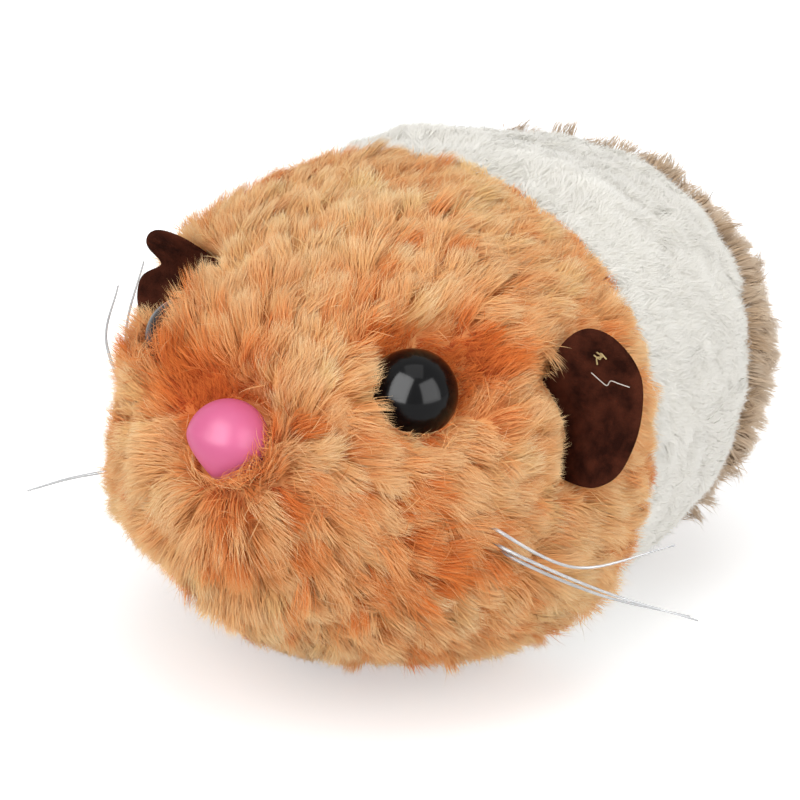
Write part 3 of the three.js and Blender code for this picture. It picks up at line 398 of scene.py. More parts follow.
def ear_frame(ear):
    """+X along the ear, +Y across it and +Z out of its hollow face, on the toy's left."""
    root = seat_frame(1, ear["setback"], ear["rise"]).translation
    turn, lift = math.radians(ear["turn"]), math.radians(ear["lift"])
    along = Vector((math.cos(lift) * math.cos(turn), math.cos(lift) * math.sin(turn), math.sin(lift)))
    facing = Vector((0, -1, 0))
    facing = (facing - along * along.dot(facing)).normalized()
    facing.rotate(Matrix.Rotation(math.radians(ear["facing"]), 3, along))
    turned = Matrix((along, facing.cross(along), facing)).transposed().to_4x4()
    turned.translation = root
    return Matrix.Diagonal((ear["side"], 1, 1, 1)) @ turned


def ear_lift(ear, across):
    return ear["fold"] * (np.abs(across) / (ear["width"] / 2)) ** FOLD_POWER


def ease(share):
    share = np.clip(share, 0, 1)
    return share * share * (3 - 2 * share)


def bump_field(points, seed, size):
    """A smooth random value at each point, roughly from -1 to 1."""
    shift = Vector((seed * 13.7, seed * 7.1, seed * 3.3))
    return np.array([noise.noise(Vector(p) / size + shift) for p in points]) * 1.8


# Where the tan fur is deep orange (negative) or pale, and painted shade in the near eye's crease: centre, reach
# and strength
TONES_AND_CREASE_SHADE = [
    # Painted shade over the fur's own deep orange: the first eight darken the crease above and behind the near
    # eye
    ((10.0, -26.3, 43.0), 1.2, -0.9), ((12.0, -25.2, 42.7), 1.4, -1.5),
    ((13.9, -23.6, 42.5), 1.4, -1.6), ((15.8, -22.0, 42.2), 1.4, -1.6),
    ((17.8, -20.9, 41.2), 1.6, -0.9), ((19.6, -19.7, 40.1), 1.8, -0.4),
    ((18.8, -19.5, 41.5), 2.8, -0.3), ((21.4, -19.5, 38.5), 2.6, -0.25),
    ((-4.4, -36.2, 37.4), 2.8, -1.0), ((-4.5, -37.4, 35.2), 2.4, -0.7),
    ((-0.4, -36.6, 37.5), 2.2, -0.4), ((3.6, -40.4, 28.3), 3.0, -0.2),
    ((10.0, -38.0, 27.0), 4.0, -0.25), ((19.5, -30.2, 22.5), 4.5, -0.5),
    ((5.6, -40.3, 22.1), 3.0, -0.3), ((-10.0, -32.0, 40.0), 4.0, -0.3),
    ((-1.6, -17.4, 50.1), 7.0, 0.3), ((5.9, -6.6, 50.9), 7.0, 0.25),
    ((-8.7, -23.3, 46.7), 6.0, 0.2), ((6.1, -28.1, 44.6), 3.0, 0.2),
    ((7.2, -33.0, 40.0), 3.0, 0.1), ((27.5, -16.5, 24.5), 5.0, 0.1),
]


def tone_at(points, tan):
    tone = np.full(len(points), 0.5)
    if tan:
        for centre, reach, strength in TONES_AND_CREASE_SHADE:
            tone += strength * 0.6 * np.exp(-((points - centre) ** 2).sum(-1) / (2 * reach ** 2))
    return tone


# Where the fur lies lower and shorter: centre, reach and share
TRIMS = [((-11.0, -34.0, 10.0), 6.5, 0.85), ((-24.0, -23.0, 24.0), 9.0, 0.4), ((14.0, -20.0, 3.0), 8.0, 0.3),
         ((0.0, -31.0, 6.0), 7.0, 0.35)]

# The pile's dense lower part: a shell for each panel, closed along its seams

UNDERCOAT = 1.2
BUTTON_FOOT = 0.6


def button_gaps(points):
    """How far points lie from each button's edge, which way from it, and its bank there."""
    for matrix, radius, height, bank_way, spread, bank in BUTTONS:
        local = into(matrix, points)
        reach = np.maximum(np.hypot(local[:, 0], local[:, 1]), 1e-6)
        facing = (local[:, 0] * bank_way[0] + local[:, 1] * bank_way[1]) / reach
        yield reach - radius, np.abs(local[:, 2]) < height + 3, bank * ease((facing + spread) / 1.1)


def ear_gaps(points):
    """How far points lie ahead of each ear, and how much they are beside its leaf."""
    for ear in EARS.values():
        local = into(ear_frame(ear), points)
        ahead = local[:, 2] - ear_lift(ear, np.clip(local[:, 1], -ear["width"] / 2, ear["width"] / 2))
        yield ahead, ease((ear["width"] / 2 + 0.3 - np.abs(local[:, 1])) / 2.5) * (np.abs(local[:, 0]) < 9)


def trimmed(points):
    """The share by which the fur is trimmed at each point."""
    return 1 - np.prod([1 - cut * np.exp(-((points - centre) ** 2).sum(-1) / (2 * reach ** 2))
                        for centre, reach, cut in TRIMS], axis=0)


def pile_dip(points):
    """How far the pile gives way, from 0 to 1, right beside a button, ahead of an ear or where it is trimmed."""
    dip = 0.8 * trimmed(points)
    for gap, near, bank in button_gaps(points):
        dip = np.maximum(dip, ease((4.0 - gap) / 4.0) * near * (1 - bank))
    for ahead, beside in ear_gaps(points):
        dip = np.maximum(dip, 0.85 * ease((7.0 - ahead) / 5.0) * ease((ahead + 1.8) / 1.5) * beside)
    return dip


def undercoat(swing, angle):
    """Points on the dense pile's uneven surface, and the way out."""
    swing, angle = (v.ravel() for v in np.broadcast_arrays(swing, angle))
    points, out = place(swing, angle, UNDERCOAT), normals(swing, angle, UNDERCOAT)
    relief = 0.16 * bump_field(points, 2, 1.6) + 0.32 * bump_field(points, 3, 4.5)
    dip = pile_dip(points)
    above = np.clip((points[:, 2] - 1.5) / 4, 0, 1)
    return points + out * (relief * above * (1 - dip) - dip * (PILE - UNDERCOAT - BUTTON_FOOT))[:, None], out


def bank_normals(swing, angle):
    """The way out of the pile where it dips beside the buttons and ears."""
    def dipped(s, a):
        points, out = place(s, a, UNDERCOAT), normals(s, a, UNDERCOAT)
        return points - out * (pile_dip(points) * (PILE - UNDERCOAT - BUTTON_FOOT))[:, None], out

    step = 0.008
    along = dipped(swing + step, angle)[0] - dipped(swing - step, angle)[0]
    around = dipped(swing, angle + step)[0] - dipped(swing, angle - step)[0]
    out = dipped(swing, angle)[1]
    n = unit(np.cross(along, around))
    return unit(n * np.sign(dot(n, out)) + 0.25 * out)


def seam_swing(angle, depth, seam):
    """The swing at which the form at a depth crosses a seam plane."""
    low, high = np.zeros_like(angle), np.full_like(angle, math.pi)
    for _ in range(32):
        half = (low + high) / 2
        past = behind_seam(place(half, angle, depth), seam) > 0
        low, high = np.where(past, low, half), np.where(past, half, high)
    return low


def add_pile(name, node, slot, material, front, rear, rows, spokes=240):
    angle = np.linspace(0, 2 * math.pi, spokes, endpoint=False)
    share = np.linspace(0, 1, rows + 1)[:, None]
    points, faces = [], []
    for depth in (UNDERCOAT, PILE + BACKING):
        start = np.zeros(spokes) if front is None else seam_swing(angle, depth, front + SOFT_GAP / 2)
        end = np.full(spokes, math.pi) if rear is None else seam_swing(angle, depth, rear - SOFT_GAP / 2)
        swing = start + (end - start) * share
        surface = undercoat(swing, angle)[0] if depth == UNDERCOAT else place(swing, angle, depth)
        points.append(surface.reshape(-1, 3))
    inner = (rows + 1) * spokes
    for k in range(spokes):
        n = (k + 1) % spokes
        for i in range(rows):
            a, b = i * spokes, (i + 1) * spokes
            faces.append((a + k, b + k, b + n, a + n))
            faces.append((inner + a + k, inner + a + n, inner + b + n, inner + b + k))
        for seam, row in ((front, 0), (rear, rows * spokes)):
            if seam is not None:
                faces.append((row + k, row + n, inner + row + n, inner + row + k))
    data = closed_mesh(name, np.concatenate(points), faces)
    at = np.empty(len(data.vertices) * 3)
    data.vertices.foreach_get("co", at)
    at = at.reshape(-1, 3) / MM
    tone = tone_at(at, material == tan_fur) + 0.12 * bump_field(at, 7, 2.2)
    depth_share = np.clip(0.34 + 0.15 * bump_field(at, 8, 1.1), 0.02, 0.7)
    uv = np.stack([np.clip(tone, 0.03, 0.97), depth_share], -1)
    corners = np.empty(len(data.loops), np.int32)
    data.loops.foreach_get("vertex_index", corners)
    for layer in ("FurUV", "OFBake"):
        data.uv_layers.new(name=layer).data.foreach_set("uv", uv[corners].ravel())
    add_piece(name, data, material, slot, [node])


add_pile("head_pile", "head_plush", "tan_plush", tan_fur, None, HEAD_SEAM, 110)
add_pile("midsection_pile", "midsection_plush", "white_plush", white_fur, HEAD_SEAM, REAR_SEAM, 70)
add_pile("rear_pile", "rear_plush", "tan_plush", rear_fur, REAR_SEAM, None, 70)

# Stuffing: the CAD forms with a loose fibre surface, never outside them

for node_name in ("stuffing_front", "stuffing_rear"):
    wad = frame["nodes"][node_name].copy()
    wad.data = frame["nodes"][node_name].data.copy()
    bpy.context.scene.collection.objects.link(wad)
    remesh = wad.modifiers.new("remesh", "REMESH")
    remesh.mode = "VOXEL"
    remesh.voxel_size = 0.0009
    shape = bpy.data.meshes.new_from_object(wad.evaluated_get(bpy.context.evaluated_depsgraph_get()))
    bpy.data.objects.remove(wad)
    shape.name = f"{node_name}_fibre"
    count = len(shape.vertices)
    at, facing = np.empty(count * 3), np.empty(count * 3)
    shape.vertices.foreach_get("co", at)
    shape.vertex_normals.foreach_get("vector", facing)
    at, facing = at.reshape(-1, 3), facing.reshape(-1, 3)
    loose = np.array([0.5 + 0.5 * noise.noise(Vector(p) * 260) for p in at])
    at -= facing * (0.0002 + 0.0006 * np.clip(loose, 0, 1))[:, None]
    shape.vertices.foreach_set("co", at.ravel())
    shape.update()
    add_piece(f"{node_name}_fibre", shape, fibre_fill, "stuffing", [node_name])

# Buttons: eyes and nose, turned about the way out through the fur

ARC_STEPS = 32


def stem_profile():
    corners = [(0, -6.4), (0.6, -6.4), (0.9, -6.1)]
    for i in (2, 1, 0):
        low = -2.9 - i * 0.9
        corners += [(1.6, low), (1.3, low + 0.45)]
    return corners + [(1.3, -0.15), (1.45, 0)]


def dome(radius, base, height, fullness):
    arc = [i * math.pi / 2 / ARC_STEPS for i in range(ARC_STEPS + 1)]
    return [(radius * max(math.cos(a), 0) ** (1 / fullness), base + height * math.sin(a)) for a in arc]


def eye_profile():
    rim = [(EYE_RADIUS - 0.6, 0), (EYE_RADIUS - 0.25, 0.12), (EYE_RADIUS - 0.04, 0.45)]
    return stem_profile() + rim + dome(EYE_RADIUS, EYE_RIM, EYE_DOME, 1)


def nose_profile():
    swell = [(NOSE_BACK + (NOSE_RADIUS - NOSE_BACK) * math.sin(i * math.pi / 16), NOSE_BELLY * i / 8)
             for i in range(8)]
    return stem_profile() + swell + dome(NOSE_RADIUS, NOSE_BELLY, NOSE_HEIGHT - NOSE_BELLY, 1.15)


def add_button(name, node, profile, matrix, material, slot, shape=None, sides=96):
    turn = np.linspace(0, 2 * math.pi, sides, endpoint=False)
    radius, height = (np.array(v)[:, None] for v in zip(*profile))
    points = np.stack([radius * np.cos(turn), radius * np.sin(turn), height + 0 * turn], -1).reshape(-1, 3)
    faces = [(i * sides + k, i * sides + (k + 1) % sides, (i + 1) * sides + (k + 1) % sides, (i + 1) * sides + k)
             for i in range(len(profile) - 1) for k in range(sides)]
    if shape:
        points = shape(points)
    return add_piece(name, closed_mesh(name, moved(matrix, points), faces), material, slot, [node])


def drop_shape(points):
    """Draws the nose in and down towards its lower edge, as a rounded drop."""
    low = np.clip(-points[:, 1] / NOSE_RADIUS, 0, 1) ** 1.8 * np.clip(points[:, 2] / NOSE_BELLY, 0, 1)
    points[:, 0] *= 1 - 0.7 * low
    points[:, 2] *= 1 - 0.4 * low
    return points


for side, matrix in eye_frames.items():
    add_button(f"eye_{side}_dome", f"eye_{side}", eye_profile(), matrix, eye_black, "eye_plastic")
add_button("nose_button", "nose", nose_profile(), nose_frame, nose_pink, "nose_plastic", drop_shape)

# Ears: felt leaves, their roots caught in the plush

FELT = 1.1
WIDEST_SHARE, ROOT_SHARE = 0.56, 0.62
EAR_ROOT = 0.9


def leaf_half_width(ear, share):
    root = ear["width"] / 2 * ROOT_SHARE
    rising = root + (ear["width"] / 2 - root) * np.sin(np.clip(share / WIDEST_SHARE, 0, 1) * math.pi / 2)
    falling = ear["width"] / 2 * taper((share - WIDEST_SHARE) / (1 - WIDEST_SHARE), 2)
    return np.where(share < WIDEST_SHARE, rising, falling)


def add_ear(side, ear):
    """A leaf with rounded edges and the slight waves of cut felt."""
    share = np.sin(np.linspace(0, math.pi / 2, 41))
    half = leaf_half_width(ear, share)
    notch = 1 - ear["notch"] * np.exp(-(half / 1.2) ** 2) * (share > WIDEST_SHARE)
    upper = np.stack([share * notch * ear["length"], half], -1)
    root = np.array([[-EAR_ROOT, leaf_half_width(ear, 0.0)]])
    rim = np.concatenate([root, upper, (upper[:-1] * [1, -1])[::-1], root * [1, -1]])
    rim[:, 0] += ear["skew"] * rim[:, 1]
    closing = np.linspace(rim[-1], rim[0], 20)[1:-1]
    rim = np.concatenate([rim, closing])
    middle = np.array([ear["length"] / 2, 0])
    count, rings = len(rim), 26
    flat = np.concatenate([middle + (rim - middle) * (ring / rings) for ring in range(1, rings + 1)])
    flat = np.concatenate([middle[None, :], flat])
    part = np.concatenate([[0], np.repeat(np.arange(1, rings + 1) / rings, count)])
    edge = 0.3 + 0.7 * np.sqrt(np.clip(1 - part ** 12, 0, 1))
    wave = np.array([0.2 * noise.noise((u * 0.3 + 9 * ear["side"], v * 0.3, 2.0)) for u, v in flat])
    lift = ear_lift(ear, flat[:, 1]) + wave
    sheets = [np.column_stack([flat, lift + face * FELT / 2 * edge]) for face in (1, -1)]
    faces = []
    for base in (0, len(flat)):
        for k in range(count):
            n = (k + 1) % count
            faces.append((base, base + 1 + k, base + 1 + n))
            for ring in range(rings - 1):
                a, b = base + 1 + ring * count, base + 1 + (ring + 1) * count
                faces.append((a + k, b + k, b + n, a + n))
    rim_at = 1 + (rings - 1) * count
    for k in range(count):
        n = (k + 1) % count
        faces.append((rim_at + k, rim_at + n, len(flat) + rim_at + n, len(flat) + rim_at + k))
    name = f"ear_{side}_felt"
    data = closed_mesh(name, moved(ear_frame(ear), np.concatenate(sheets)), faces)
    piece = add_piece(name, data, felt, "ear_felt", [f"ear_{side}"])
    across = np.linspace(0, ear["width"] / 2, 60)
    unfolded = 2 * np.sum(np.hypot(np.diff(across), np.diff(ear_lift(ear, across))))
    flat_size = (unfolded * 1.02 * MM, max(np.ptp(rim[:, 0]), ear["length"] + EAR_ROOT) * MM)
    print("ear", side, "flat size", [round(float(v) / MM, 1) for v in flat_size])
    return piece


for side, ear in EARS.items():
    add_ear(side, ear)

# Whiskers

WHISKERS = {
    "whisker_left_1": (1, 17.1, 2, (11.9, 1.0, -2.9), (21.2, 5.0, 0.9)),
    "whisker_left_2": (1, 17.5, -2, (14.4, 1.2, -3.1), (24.1, 4.7, -4.9)),
    "whisker_left_3": (1, 18.5, -5, (13.5, 1.5, -3.2), (21.8, 5.5, -4.6)),
    "whisker_right_1": (-1, 18.0, 5, (7.3, 0.8, 3.8), (11.4, 8.2, 6.8)),
    "whisker_right_2": (-1, 20.0, 7, (6.2, 2.1, 3.4), (10.3, 10.5, 7.4)),
    "whisker_right_3": (-1, 22.0, 4, (6.4, 1.8, 2.4), (8.8, 8.8, 3.8)),
    "whisker_right_4": (-1, 16.5, -16, (8.2, -3.3, -2.8), (14.2, -3.3, -6.1)),
}
WHISKER_RADIUS, WHISKER_TIP = 0.2, 0.09
WHISKER_RISE = 1.0


def smooth_line(knots, per_span):
    """A centripetal Catmull-Rom curve through the knots."""
    knots = [2 * knots[0] - knots[1], *knots, 2 * knots[-1] - knots[-2]]
    line = []
    for i in range(1, len(knots) - 2):
        a, b, c, d = knots[i - 1:i + 3]
        before, span, after = (max(np.linalg.norm(q - p) ** 0.5, 1e-4) for p, q in ((a, b), (b, c), (c, d)))
        start = ((b - a) / before - (c - a) / (before + span) + (c - b) / span) * span
        end = ((c - b) / span - (d - b) / (span + after) + (d - c) / after) * span
        for t in np.arange(per_span) / per_span:
            line.append(b + start * t + (3 * (c - b) - 2 * start - end) * t ** 2
                        + (2 * (b - c) + start + end) * t ** 3)
    return np.array([*line, knots[-2]])


def tube(line, radii, sides=12):
    """Points and faces of a closed tube along a line."""
    heading = unit(np.gradient(line, axis=0))
    across = unit(np.cross(heading, [0.1, 0.2, 1.0]))
    other = np.cross(heading, across)
    turn = np.linspace(0, 2 * math.pi, sides, endpoint=False)
    ring = across[:, None] * np.cos(turn)[:, None] + other[:, None] * np.sin(turn)[:, None]
    points = (line[:, None] + ring * radii[:, None, None]).reshape(-1, 3)
    faces = [(i * sides + k, i * sides + (k + 1) % sides, (i + 1) * sides + (k + 1) % sides, (i + 1) * sides + k)
             for i in range(len(line) - 1) for k in range(sides)]
    faces += [tuple(range(sides))[::-1], tuple(range((len(line) - 1) * sides, len(line) * sides))]
    return points, faces


for name, (side, setback, rise, bend, tip) in WHISKERS.items():
    seat = np.array(seat_frame(side, setback, rise))
    start, out, flip = seat[:3, 3], seat[:3, 2], np.array([side, 1, 1])
    clear = (PILE + WHISKER_RISE) * (1 if side > 0 else 0.55)
    knots = [start + out * h for h in (SOFT_GAP, clear / 2, clear)]
    line = smooth_line([*knots, start + np.array(bend) * flip, start + np.array(tip) * flip], 14)
    share = np.linspace(0, 1, len(line))
    radii = WHISKER_RADIUS + (WHISKER_TIP - WHISKER_RADIUS) * np.clip((share - 0.4) / 0.6, 0, 1) ** 1.5
    data = closed_mesh(f"{name}_strand", *tube(line, radii))
    add_piece(f"{name}_strand", data, nylon, "nylon", [name])

# A pale thread and a tuft of lint caught on the near ear, by place along it and across it

CAUGHT = [
    ("ear_thread", thread, 0.05, [(8.0, 3.2), (8.3, 2.0), (8.6, 1.3), (9.3, 1.5), (9.9, 0.9), (10.8, 0.0)]),
    ("ear_lint_1", lint, 0.08, [(9.2, 3.6), (9.7, 4.2), (10.3, 4.0), (10.1, 4.7)]),
    ("ear_lint_2", lint, 0.07, [(9.6, 4.6), (9.9, 3.9), (10.4, 4.4), (10.5, 3.6)]),
]
near_ear = EARS["left"]
for name, look, radius, places in CAUGHT:
    knots = [np.array([u, v, ear_lift(near_ear, v) + FELT / 2 + 0.25]) for u, v in places]
    line = moved(ear_frame(near_ear), smooth_line(knots, 6))
    data = closed_mesh(name, *tube(line, np.full(len(line), radius)))
    add_piece(name, data, look, "tan_plush", ["ear_left"])

# Fur: strands of mesh, combed along the body and drawn into clumps


def scatter(rng, count):
    """Roots spread evenly over the form, by swing and angle, and the whole area."""
    rows, spokes = 220, 300
    swing = (np.arange(rows) + 0.5) / rows * math.pi
    angle = (np.arange(spokes) + 0.5) / spokes * 2 * math.pi
    s, a = (v.ravel() for v in np.meshgrid(swing, angle, indexing="ij"))
    h = math.pi / rows / 2
    g = math.pi / spokes
    along = place(np.clip(s + h, 0, math.pi), a, UNDERCOAT) - place(np.clip(s - h, 0, math.pi), a, UNDERCOAT)
    around = place(s, a + g, UNDERCOAT) - place(s, a - g, UNDERCOAT)
    area = np.linalg.norm(np.cross(along, around), axis=-1)
    cell = rng.choice(len(area), count, p=area / area.sum())
    s = np.clip(s[cell] + (rng.random(count) * 2 - 1) * h, 0.005, math.pi - 0.005)
    return s, a[cell] + (rng.random(count) * 2 - 1) * g, area.sum()


def nearest(points, centres):
    index = np.empty(len(points), int)
    size = (centres ** 2).sum(-1)
    for i in range(0, len(points), 8000):
        index[i:i + 8000] = np.argmin(size - 2 * points[i:i + 8000] @ centres.T, 1)
    return index


def flow_at(points, facing, zone):
    """Which way the fur is combed, along the surface."""
    if zone == "head":
        way = unit(points - np.array([0.0, -40.0, 30.5]))
        way = way + np.array([0, 0.1, -0.15]) * (points[:, 2:3] < 26)
        for matrix in eye_frames.values():
            away = points - np.array(matrix.translation)
            reach = np.linalg.norm(away, axis=-1, keepdims=True)
            way = way + unit(away) * 1.2 * np.exp(-(reach / 6.5) ** 2)
    elif zone == "midsection":
        way = np.tile([0.0, 1.0, -0.3], (len(points), 1))
    else:
        way = np.tile([0.0, 0.75, -0.25], (len(points), 1))
    return unit(way - facing * dot(way, facing))


def turn_about(vectors, axes, angles):
    """Vectors that lie across their axes, turned about them."""
    return vectors * np.cos(angles)[:, None] + np.cross(axes, vectors) * np.sin(angles)[:, None]


def clear_buttons(line, roots):
    """Moves strand points out of the eyes and nose, and says which roots lie under them."""
    covered = np.zeros(len(roots), bool)
    for matrix, radius, height, *_ in BUTTONS:
        start = into(matrix, roots)
        covered |= (np.hypot(start[:, 0], start[:, 1]) < radius - 0.1) & (np.abs(start[:, 2]) < 6)
        local = into(matrix, line.reshape(-1, 3))
        reach = np.hypot(local[:, 0], local[:, 1])
        rise = np.clip((local[:, 2] - 1.0) / height, 0, 1)
        need = radius * np.sqrt(1 - rise ** 2) + 0.15
        close = (reach < need) & (local[:, 2] > -2) & (local[:, 2] < height + 0.2)
        grow = np.where(close, need / np.maximum(reach, 0.3), 1)
        local[:, 0] *= grow
        local[:, 1] *= grow
        line = moved(matrix, local).reshape(line.shape)
    return line, covered


def clear_ears(line, roots):
    """Moves strand points to their own root's side of each ear."""
    for ear in EARS.values():
        matrix = ear_frame(ear)
        start = into(matrix, roots)
        side = np.where(start[:, 2] > ear_lift(ear, start[:, 1]), 1, -1)[:, None]
        local = into(matrix, line.reshape(-1, 3)).reshape(line.shape)
        out_along = local[..., 0] - ear["skew"] * local[..., 1]
        share = np.clip(out_along / ear["length"], 0, 1)
        inside = (out_along > -1) & (out_along < ear["length"] + 0.2)
        inside &= np.abs(local[..., 1]) < leaf_half_width(ear, share) + 0.2
        offset = local[..., 2] - ear_lift(ear, local[..., 1])
        need = FELT / 2 + 0.25
        push = np.where(inside & (offset * side < need), need * side, offset)
        local[..., 2] += push - offset
        line = moved(matrix, local.reshape(-1, 3)).reshape(line.shape)
    return line


def grow_fur(zone, roots, level, facing, rng, settings):
    """The strands' points, tone, sideways directions and soft normals."""
    count, steps = len(roots), settings["steps"]
    share = np.linspace(0, 1, steps)
    centres = roots[rng.choice(count, max(int(count * settings["clump_share"]), 8), replace=False)]
    clump = nearest(roots, centres)
    tufts = centres[rng.choice(len(centres), max(len(centres) // 6, 4), replace=False)]
    tuft = nearest(roots, tufts)
    clump_swing = rng.normal(0, settings["clump_turn"], len(centres))
    clump_lean = rng.normal(0, settings["clump_lean"], len(centres))
    clump_length = rng.normal(1, 0.12, len(centres))
    clump_tone = rng.normal(0, settings["clump_tone"], len(centres))
    broad = bump_field(centres, settings["seed"], 9.0)[clump]
    stray = rng.random(count) < 0.04

    # Lower on the head the fur is longer and looser
    loose = ease((30 - roots[:, 2]) / 12) * ease((0 - roots[:, 1]) / 10) if zone == "head" else np.zeros(count)
    beside = np.ones(count)
    inward = np.zeros(count, bool)
    banked, button_foot_shade = np.zeros(count), np.zeros(count)
    for gap, near, bank in button_gaps(roots):
        beside = np.minimum(beside, np.where(near, np.maximum(ease((gap + 0.4) / 4.2), bank), 1))
        button_foot_shade = np.maximum(button_foot_shade, near * (1 - ease(gap / 1.6)))
        inward |= near & (gap < 1.6) & (rng.random(count) < 0.04 + 0.42 * bank)
        banked = np.maximum(banked, near * bank * np.exp(-(np.maximum(gap, 0) / 3) ** 2))
    ahead_of_ear = np.zeros(count)
    for ahead, by_leaf in ear_gaps(roots):
        ahead_of_ear = np.maximum(ahead_of_ear, np.exp(-(ahead / 6) ** 2) * ease((ahead + 1.2) / 1.0) * by_leaf)
    seam_gap = np.abs(behind_seam(roots, HEAD_SEAM))
    by_seam = np.exp(-(seam_gap / settings["seam_reach"]) ** 2)

    flow = flow_at(roots, facing, zone)
    for matrix, radius, height, *_ in BUTTONS:
        towards = np.array(matrix.translation) - roots
        towards = unit(towards - facing * dot(towards, facing))
        reach = np.linalg.norm(np.array(matrix.translation) - roots, axis=-1)
        turn = inward & (reach < radius + height)
        flow = np.where(turn[:, None], towards, flow)
    azimuth = clump_swing[clump] + broad * 0.45 + rng.normal(0, settings["spread"], count)
    azimuth = np.where(stray, azimuth + rng.normal(0, 0.8, count), azimuth)
    azimuth = np.where(inward, rng.normal(0, 0.6, count), azimuth)
    flow = turn_about(flow, facing, azimuth)
    lean = rng.normal(0, 0.06, count) + clump_lean[clump] - np.where(stray, 0.3, 0)
    length = settings["length"] * clump_length[clump] * rng.normal(1, 0.07, count)
    length = np.clip(length, settings["length"] * 0.6, settings["length"] * 1.35)
    length *= 1 + settings["loose_length"] * loose
    length *= 1 - 0.68 * np.clip((10.0 - roots[:, 2]) / 8.0, 0, 1)
    length *= 0.34 + 0.66 * beside + 0.4 * banked
    length *= 1 - 0.75 * ahead_of_ear
    length *= 1 - trimmed(roots)
    length *= 1 - settings["seam_trim"] * by_seam
    line = np.empty((count, steps, 3))
    line[:, 0] = roots
    (low, high), (loose_low, loose_high) = settings["leans"], settings["loose_leans"]
    for i in range(1, steps):
        middle = (share[i] + share[i - 1]) / 2
        bent = low + (high - low) * middle ** 0.8
        loosely = loose_low + (loose_high - loose_low) * middle ** 0.8
        angle = (bent + (loosely - bent) * loose) * (0.8 + 0.2 * beside) * (1 - 0.3 * banked) + lean
        angle = np.clip(np.where(inward, 0.2 + 1.5 * middle, angle), 0.02, 1.5)
        step = (length / (steps - 1))[:, None]
        line[:, i] = line[:, i - 1] + step * (np.cos(angle)[:, None] * facing + np.sin(angle)[:, None] * flow)
    run = dot(line - roots[:, None], flow[:, None])
    line -= facing[:, None] * run ** 2 / (2 * 27.0)
    line[..., 2] -= settings["droop"] * share[None] ** 2
    held = np.where(inward, 0.1, 1 - 0.6 * stray) * (0.4 + 0.6 * beside)
    pull = (settings["pull"] * held)[:, None, None] * (share ** 1.4)[None, :, None]
    line += (centres[clump] - roots)[:, None] * pull
    tuft_pull = settings["tuft_pull"] * (0.6 + loose) * held
    line += (tufts[tuft] - centres[clump])[:, None] * tuft_pull[:, None, None] * (share ** 2)[None, :, None]
    side = np.cross(facing, flow)
    phase = rng.random((count, 1)) * 6.3
    wave = np.sin(phase + share[None] * rng.uniform(2.5, 5.5, (count, 1))) - np.sin(phase)
    line += side[:, None] * (wave * settings["wave"])[..., None]
    line, covered = clear_buttons(line, roots)
    line = clear_ears(line, roots)
    line[..., 2] = np.maximum(line[..., 2], 0.12 + 0.25 * rng.random((count, 1)))
    tone = tone_at(level, zone == "head")
    tone = tone + clump_tone[clump] + rng.normal(0, 0.09, count)
    mottle = bump_field(centres, 5, 6.0) * 0.10 + bump_field(centres, 6, 2.8) * settings["mottle"]
    # Painted shade: strands rooted at the foot of the eyes and nose are made deeper orange
    tone = tone + mottle[clump] * (1 + 0.5 * loose) - 0.25 * button_foot_shade
    round_out = (roots - centres[clump]) / settings["clump_radius"]
    soft = unit(facing + 0.35 * np.clip(round_out, -1, 1))
    return line, covered, tone, side, soft


def add_strands(name, line, facing, side, tone, soft, rng, settings):
    """A piece of mesh strands: narrow ribbons that end in a point."""
    count, steps = line.shape[:2]
    share = np.linspace(0, 1, steps)
    heading = unit(np.gradient(line, axis=1))
    across = unit(np.cross(heading, facing[:, None]) + side[:, None] * 0.05)
    up = np.cross(across, heading)
    twist = rng.uniform(-0.8, 0.8, count)[:, None, None]
    across = across * np.cos(twist) + up * np.sin(twist)
    half = (rng.uniform(*settings["widths"], (count, 1)) * (1 - 0.75 * share[None] ** 2) / 2)[..., None]
    left, right = line - across * half, line + across * half
    per = 2 * (steps - 1) + 1
    points = np.empty((count, per, 3))
    points[:, 0:-1:2], points[:, 1:-1:2], points[:, -1] = left[:, :-1], right[:, :-1], line[:, -1]
    roundness = settings["roundness"]
    lit = soft[:, None] + up * roundness
    shade = np.empty((count, per, 3))
    shade[:, 0:-1:2] = (lit - across * roundness)[:, :-1]
    shade[:, 1:-1:2] = (lit + across * roundness)[:, :-1]
    shade[:, -1] = lit[:, -1]
    shade = unit(shade)
    quads = np.array([[2 * i, 2 * i + 1, 2 * i + 3, 2 * i + 2] for i in range(steps - 2)]).ravel()
    corner = np.concatenate([quads, [2 * steps - 4, 2 * steps - 3, 2 * steps - 2]])
    loops = (np.arange(count)[:, None] * per + corner[None]).ravel()
    starts = np.concatenate([np.arange(steps - 2) * 4, [(steps - 2) * 4]])
    starts = (np.arange(count)[:, None] * len(corner) + starts[None]).ravel()
    data = bpy.data.meshes.new(name)
    data.vertices.add(count * per)
    data.vertices.foreach_set("co", (points * MM).ravel())
    data.loops.add(len(loops))
    data.loops.foreach_set("vertex_index", loops)
    data.polygons.add(len(starts))
    data.polygons.foreach_set("loop_start", starts)
    data.update(calc_edges=True)
    across_uv = np.tile(np.array([-0.003, 0.003] * (steps - 1) + [0.0]), (count, 1))
    u = np.clip(tone, 0.02, 0.98)[:, None] + across_uv
    along_uv = np.append(np.repeat(share[:-1], 2), 1.0)
    reach = 0.5 + 0.5 * np.clip(tone / 0.35, 0, 1)[:, None]
    v = np.clip(np.tile(along_uv, (count, 1)) * reach, 0.01, 0.99)
    uv = np.stack([u, v], -1).reshape(-1, 2)[loops].ravel()
    for layer in ("FurUV", "OFBake"):
        data.uv_layers.new(name=layer).data.foreach_set("uv", uv)
    piece = add_piece(name, data, settings["look"], settings["slot"], [settings["node"]])
    data.normals_split_custom_set_from_vertices(shade.reshape(-1, 3))
    return piece


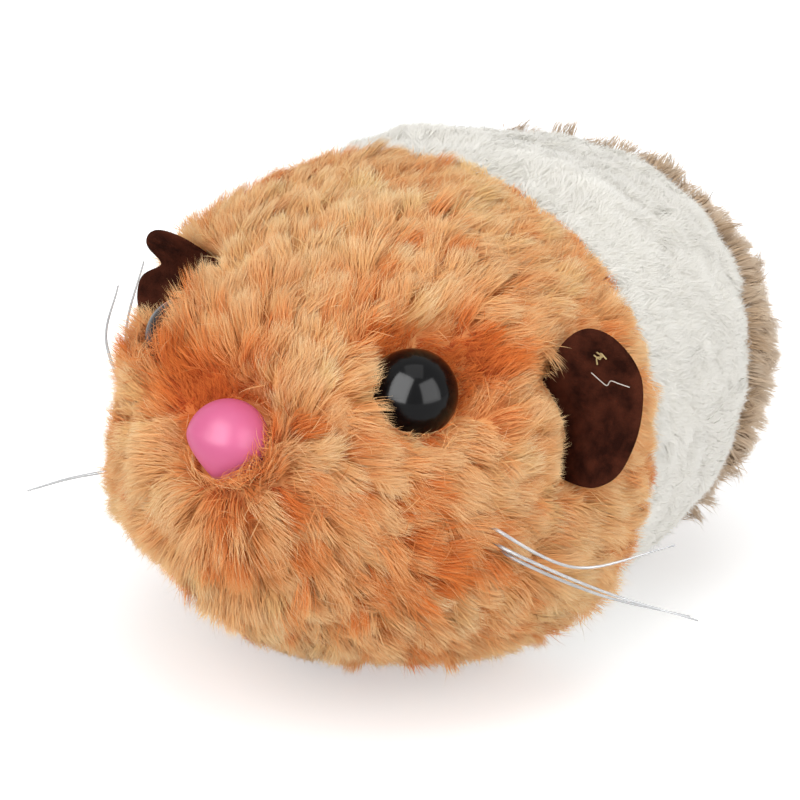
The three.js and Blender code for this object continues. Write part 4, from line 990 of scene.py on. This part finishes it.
FUR = {
    "head": dict(
        seed=11, density=38, steps=5, length=4.5, leans=(0.72, 1.42), loose_leans=(0.58, 1.28), loose_length=0.12,
        clump_share=0.009, clump_turn=0.34, clump_lean=0.13, clump_tone=0.13, clump_radius=1.2, mottle=0.14,
        spread=0.14, pull=0.44, tuft_pull=0.28, wave=0.11, droop=0.15, widths=(0.045, 0.08), seam_reach=3.5,
        seam_trim=0.45, roundness=0.22, pieces=8, look=tan_fur, slot="tan_plush", node="head_plush"),
    "midsection": dict(
        seed=23, density=50, steps=4, length=2.2, leans=(0.75, 1.35), loose_leans=(0.75, 1.35), loose_length=0,
        clump_share=0.010, clump_turn=0.20, clump_lean=0.05, clump_tone=0.05, clump_radius=1.6, mottle=0.03,
        spread=0.45, pull=0.0, tuft_pull=0.0, wave=0.06, droop=0.05, widths=(0.045, 0.08), seam_reach=2.5,
        seam_trim=-0.15, roundness=0.08, pieces=5, look=white_fur, slot="white_plush", node="midsection_plush"),
    "rear": dict(
        seed=37, density=20, steps=5, length=3.9, leans=(0.25, 1.05), loose_leans=(0.25, 1.05), loose_length=0,
        clump_share=0.022, clump_turn=0.45, clump_lean=0.20, clump_tone=0.12, clump_radius=1.2, mottle=0.10,
        spread=0.12, pull=0.60, tuft_pull=0.35, wave=0.10, droop=0.2, widths=(0.06, 0.11), seam_reach=3.0,
        seam_trim=0.0, roundness=0.22, pieces=2, look=rear_fur, slot="tan_plush", node="rear_plush"),
}

fur_rng = np.random.default_rng(20)
root_swing, root_angle, backing_area = scatter(fur_rng, 620000)
root_at = place(root_swing, root_angle, UNDERCOAT)
zones = np.where(behind_seam(root_at, HEAD_SEAM) < 0, "head",
                 np.where(behind_seam(root_at, REAR_SEAM) < 0, "midsection", "rear"))
for zone, settings in FUR.items():
    rng = np.random.default_rng(settings["seed"])
    mine = np.flatnonzero(zones == zone)
    keep_share = settings["density"] * backing_area / len(root_swing)
    under = root_at[mine, 2] < BELLY_SHARE * UNDERCOAT + 0.4
    mine = mine[rng.random(len(mine)) < keep_share * np.where(under, 0.5, 1)]
    roots, facing = undercoat(root_swing[mine], root_angle[mine])
    banks = np.flatnonzero(pile_dip(roots) > 0.01)
    facing[banks] = bank_normals(root_swing[mine][banks], root_angle[mine][banks])
    line, covered, tone, side, soft = grow_fur(zone, roots - facing * 0.25, root_at[mine], facing, rng, settings)
    seen = ~covered
    line, facing, side, tone, soft = line[seen], facing[seen], side[seen], tone[seen], soft[seen]
    for i in range(settings["pieces"]):
        part = slice(i, None, settings["pieces"])
        add_strands(f"{zone}_fur_{i + 1}", line[part], facing[part], side[part], tone[part], soft[part], rng,
                    settings)
    print(zone, "strands", len(line))
